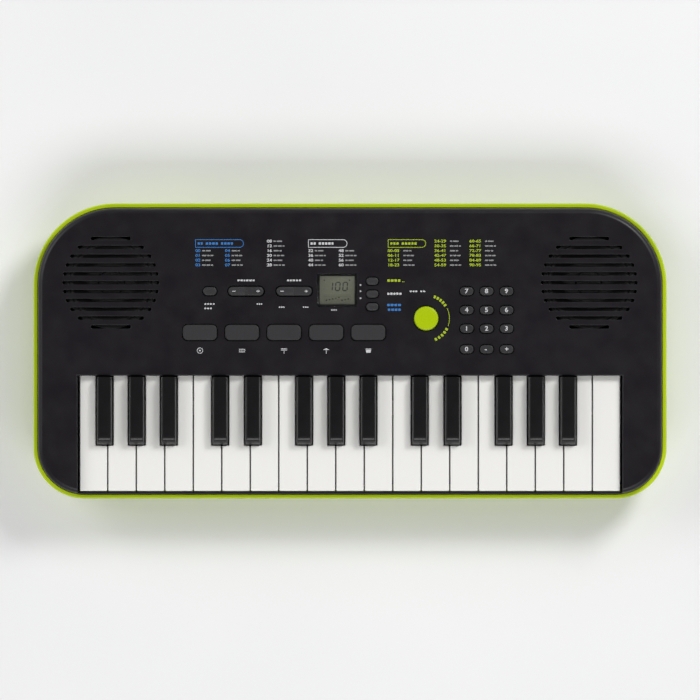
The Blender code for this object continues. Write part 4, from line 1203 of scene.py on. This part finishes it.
def drum_icon(number, x, y):
    """A simple picture under each pad: bass drum, snare, hi-hat, cymbal and tom."""
    shape = []
    if number == 0:
        for start in (2, 182):
            shape += arc_line((x, y), 1.9, start, start + 176, 0.2)
    for across, up, width, height, radius in ICON_BARS[number]:
        shape += mark(box_corners((x + across, y + up), (width, height), radius))
    if number in ICON_CORNERS:
        corners = [(x + across, y + up, radius) for across, up, radius in ICON_CORNERS[number]]
        shape += mark(corners)
    return shape


def print_lime():
    """The tone heading and label, and the arc round the lime button."""
    centre, _ = cap_of("piano_organ_button")
    shape = tab("lime") + letters(26.2, 49.5, (1.8, 2.0, 1.9, 1.7), 1.7)
    shape += mark(box_corners((37.4, 48.6), (1.9, 0.3), 0.1))
    shape += arc_line(centre, 16.3, -19, 26, 0.2)
    return shape + arc_marks(centre, 16.2, 68, 35, 5) + arc_marks(centre, 16.2, -28, -65, 5)


def print_blue():
    """The song heading and the two lines of the song label."""
    shape = tab("blue") + letters(26.1, 32.3, (1.8, 2.1, 1.9, 2.1), 1.6)
    return shape + letters(26.6, 29.0, (1.7, 1.9, 1.9, 1.7), 1.6)


def make_prints():
    """The heading, label and number prints on the panel, one mesh for each colour."""
    painters = {"white": print_white, "grey": print_grey, "lime": print_lime, "blue": print_blue}
    for colour, painter in painters.items():
        piece(f"panel_print_{colour}", painter(), f"ink_{colour}", slot="case_black")
    for name, (colour, number, step, columns) in LISTS.items():
        entries = []
        for x, y in list_rows(columns):
            last = f"-{number + step - 1:02d}" if name == "tone" else ""
            entries.append((f"{number:02d}{last}", x, y, PANEL_Z))
            number += step
        mesh = digits_mesh(f"{name}_numbers", entries, DIGIT_HEIGHT, widen=1.28)
        piece(f"panel_{name}_numbers", mesh, f"ink_{colour}", slot="case_black")
    make_button_prints()


def make_button_prints():
    """Digits on the number keypad, and minus and plus on the rockers."""
    keypad = "number_keypad"
    top = box_mm(keypad)[1].z
    entries = [(text, x - 1.35, y, top) for text, (x, y) in zip("7894561230-+", keypad_centres())]
    mesh = digits_mesh("keypad_digits", entries, 3.1, widen=1.1)
    piece("keypad_digits", mesh, "ink_white", body=keypad, slot="button_grey")
    for node in ROCKERS:
        (x, y), size = cap_of(node)
        reach, signs = size[0] / 2 - 4.0, []
        bars = [((x - reach, y), (2.4, 0.5), 0.15), ((x + reach, y), (2.4, 0.5), 0.15)]
        bars += [((x + reach, y + up), (0.5, 0.98), 0.12) for up in (0.76, -0.76)]
        for sign in bars:
            signs += mark(box_corners(*sign), z=box_mm(node)[1].z - 0.25, steps=2)
        piece(f"{node}_signs", signs, "ink_white", body=node, slot="button_grey")


# ---- floor, lights and camera


def make_floor():
    half, thick = 3000.0, 0.1
    mesh = build("floor", box((-half, -half, -thick), (half, half, 0.0)))
    nodes = Nodes("floor_paper")
    tone = nodes.spread(nodes.noise(3.0))
    nodes.drive("Base Color", nodes.mix(tone, (0.72, 0.72, 0.73), (0.75, 0.75, 0.755)))
    nodes.fix("Roughness", 0.85)
    nodes.fix("Specular IOR Level", 0.2)
    mesh.materials.append(nodes.material)
    placed("floor", mesh)


def make_light(name, location, size, power):
    """A rectangular light that faces the origin."""
    data = bpy.data.lights.new(name, "AREA")
    data.shape = "RECTANGLE"
    data.size, data.size_y = size
    data.energy = power
    light = placed(name, data)
    light.location = location
    light.rotation_mode = "QUATERNION"
    light.rotation_quaternion = (-Vector(location)).to_track_quat("-Z", "Y")


def make_world():
    """Soft light from all round that fades towards the zenith, so that flat blacks stay black."""
    world = bpy.data.worlds.new("studio")
    world.use_nodes = True
    nodes, link = world.node_tree.nodes, world.node_tree.links.new
    coords = nodes.new("ShaderNodeTexCoord")
    split = nodes.new("ShaderNodeSeparateXYZ")
    fade = nodes.new("ShaderNodeMapRange")
    limits = {"From Min": 0.15, "From Max": 0.85, "To Min": 0.55, "To Max": 0.05}
    for name, value in limits.items():
        fade.inputs[name].default_value = value
    background = nodes["Background"].inputs
    background["Color"].default_value = (1.0, 1.0, 1.0, 1.0)
    link(coords.outputs["Generated"], split.inputs["Vector"])
    link(split.outputs["Z"], fade.inputs["Value"])
    link(fade.outputs["Result"], background["Strength"])
    bpy.context.scene.world = world


def make_lights():
    make_world()
    make_light("key_light", (1.2, 1.3, 1.5), (0.7, 0.6), 35)
    make_light("fill_light", (-1.6, 0.7, 1.1), (1.3, 1.1), 18.5)
    make_light("front_light", (0.1, -1.35, 1.45), (2.0, 0.7), 24)


LENS, SENSOR = 350.0, 36.0
VIEW_WIDTH = 493.0  # millimetres across the picture at the rim's height
VIEW_SHIFT_Y = 0.7


def make_camera():
    """Looks straight down, with the instrument's front towards the foot of the picture."""
    data = bpy.data.cameras.new("camera")
    data.lens, data.sensor_width = LENS, SENSOR
    camera = placed("camera", data)
    camera.location = (0.0, VIEW_SHIFT_Y * MM, (RIM_Z + VIEW_WIDTH * LENS / SENSOR) * MM)
    bpy.context.scene.camera = camera
    bpy.context.scene.view_settings.view_transform = "Standard"


def main():
    dress_kept_nodes()
    make_camera()
    make_bottom_case()
    make_top_case()
    make_feet()
    make_screws()
    make_battery_cover()
    make_battery_contacts()
    make_keys()
    make_contact_domes()
    make_controls()
    make_display()
    make_speakers()
    make_socket("headphone_socket", 1.8, 0.0)
    make_socket("dc_socket", 2.8, 0.8)
    make_prints()
    make_floor()
    make_lights()


main()
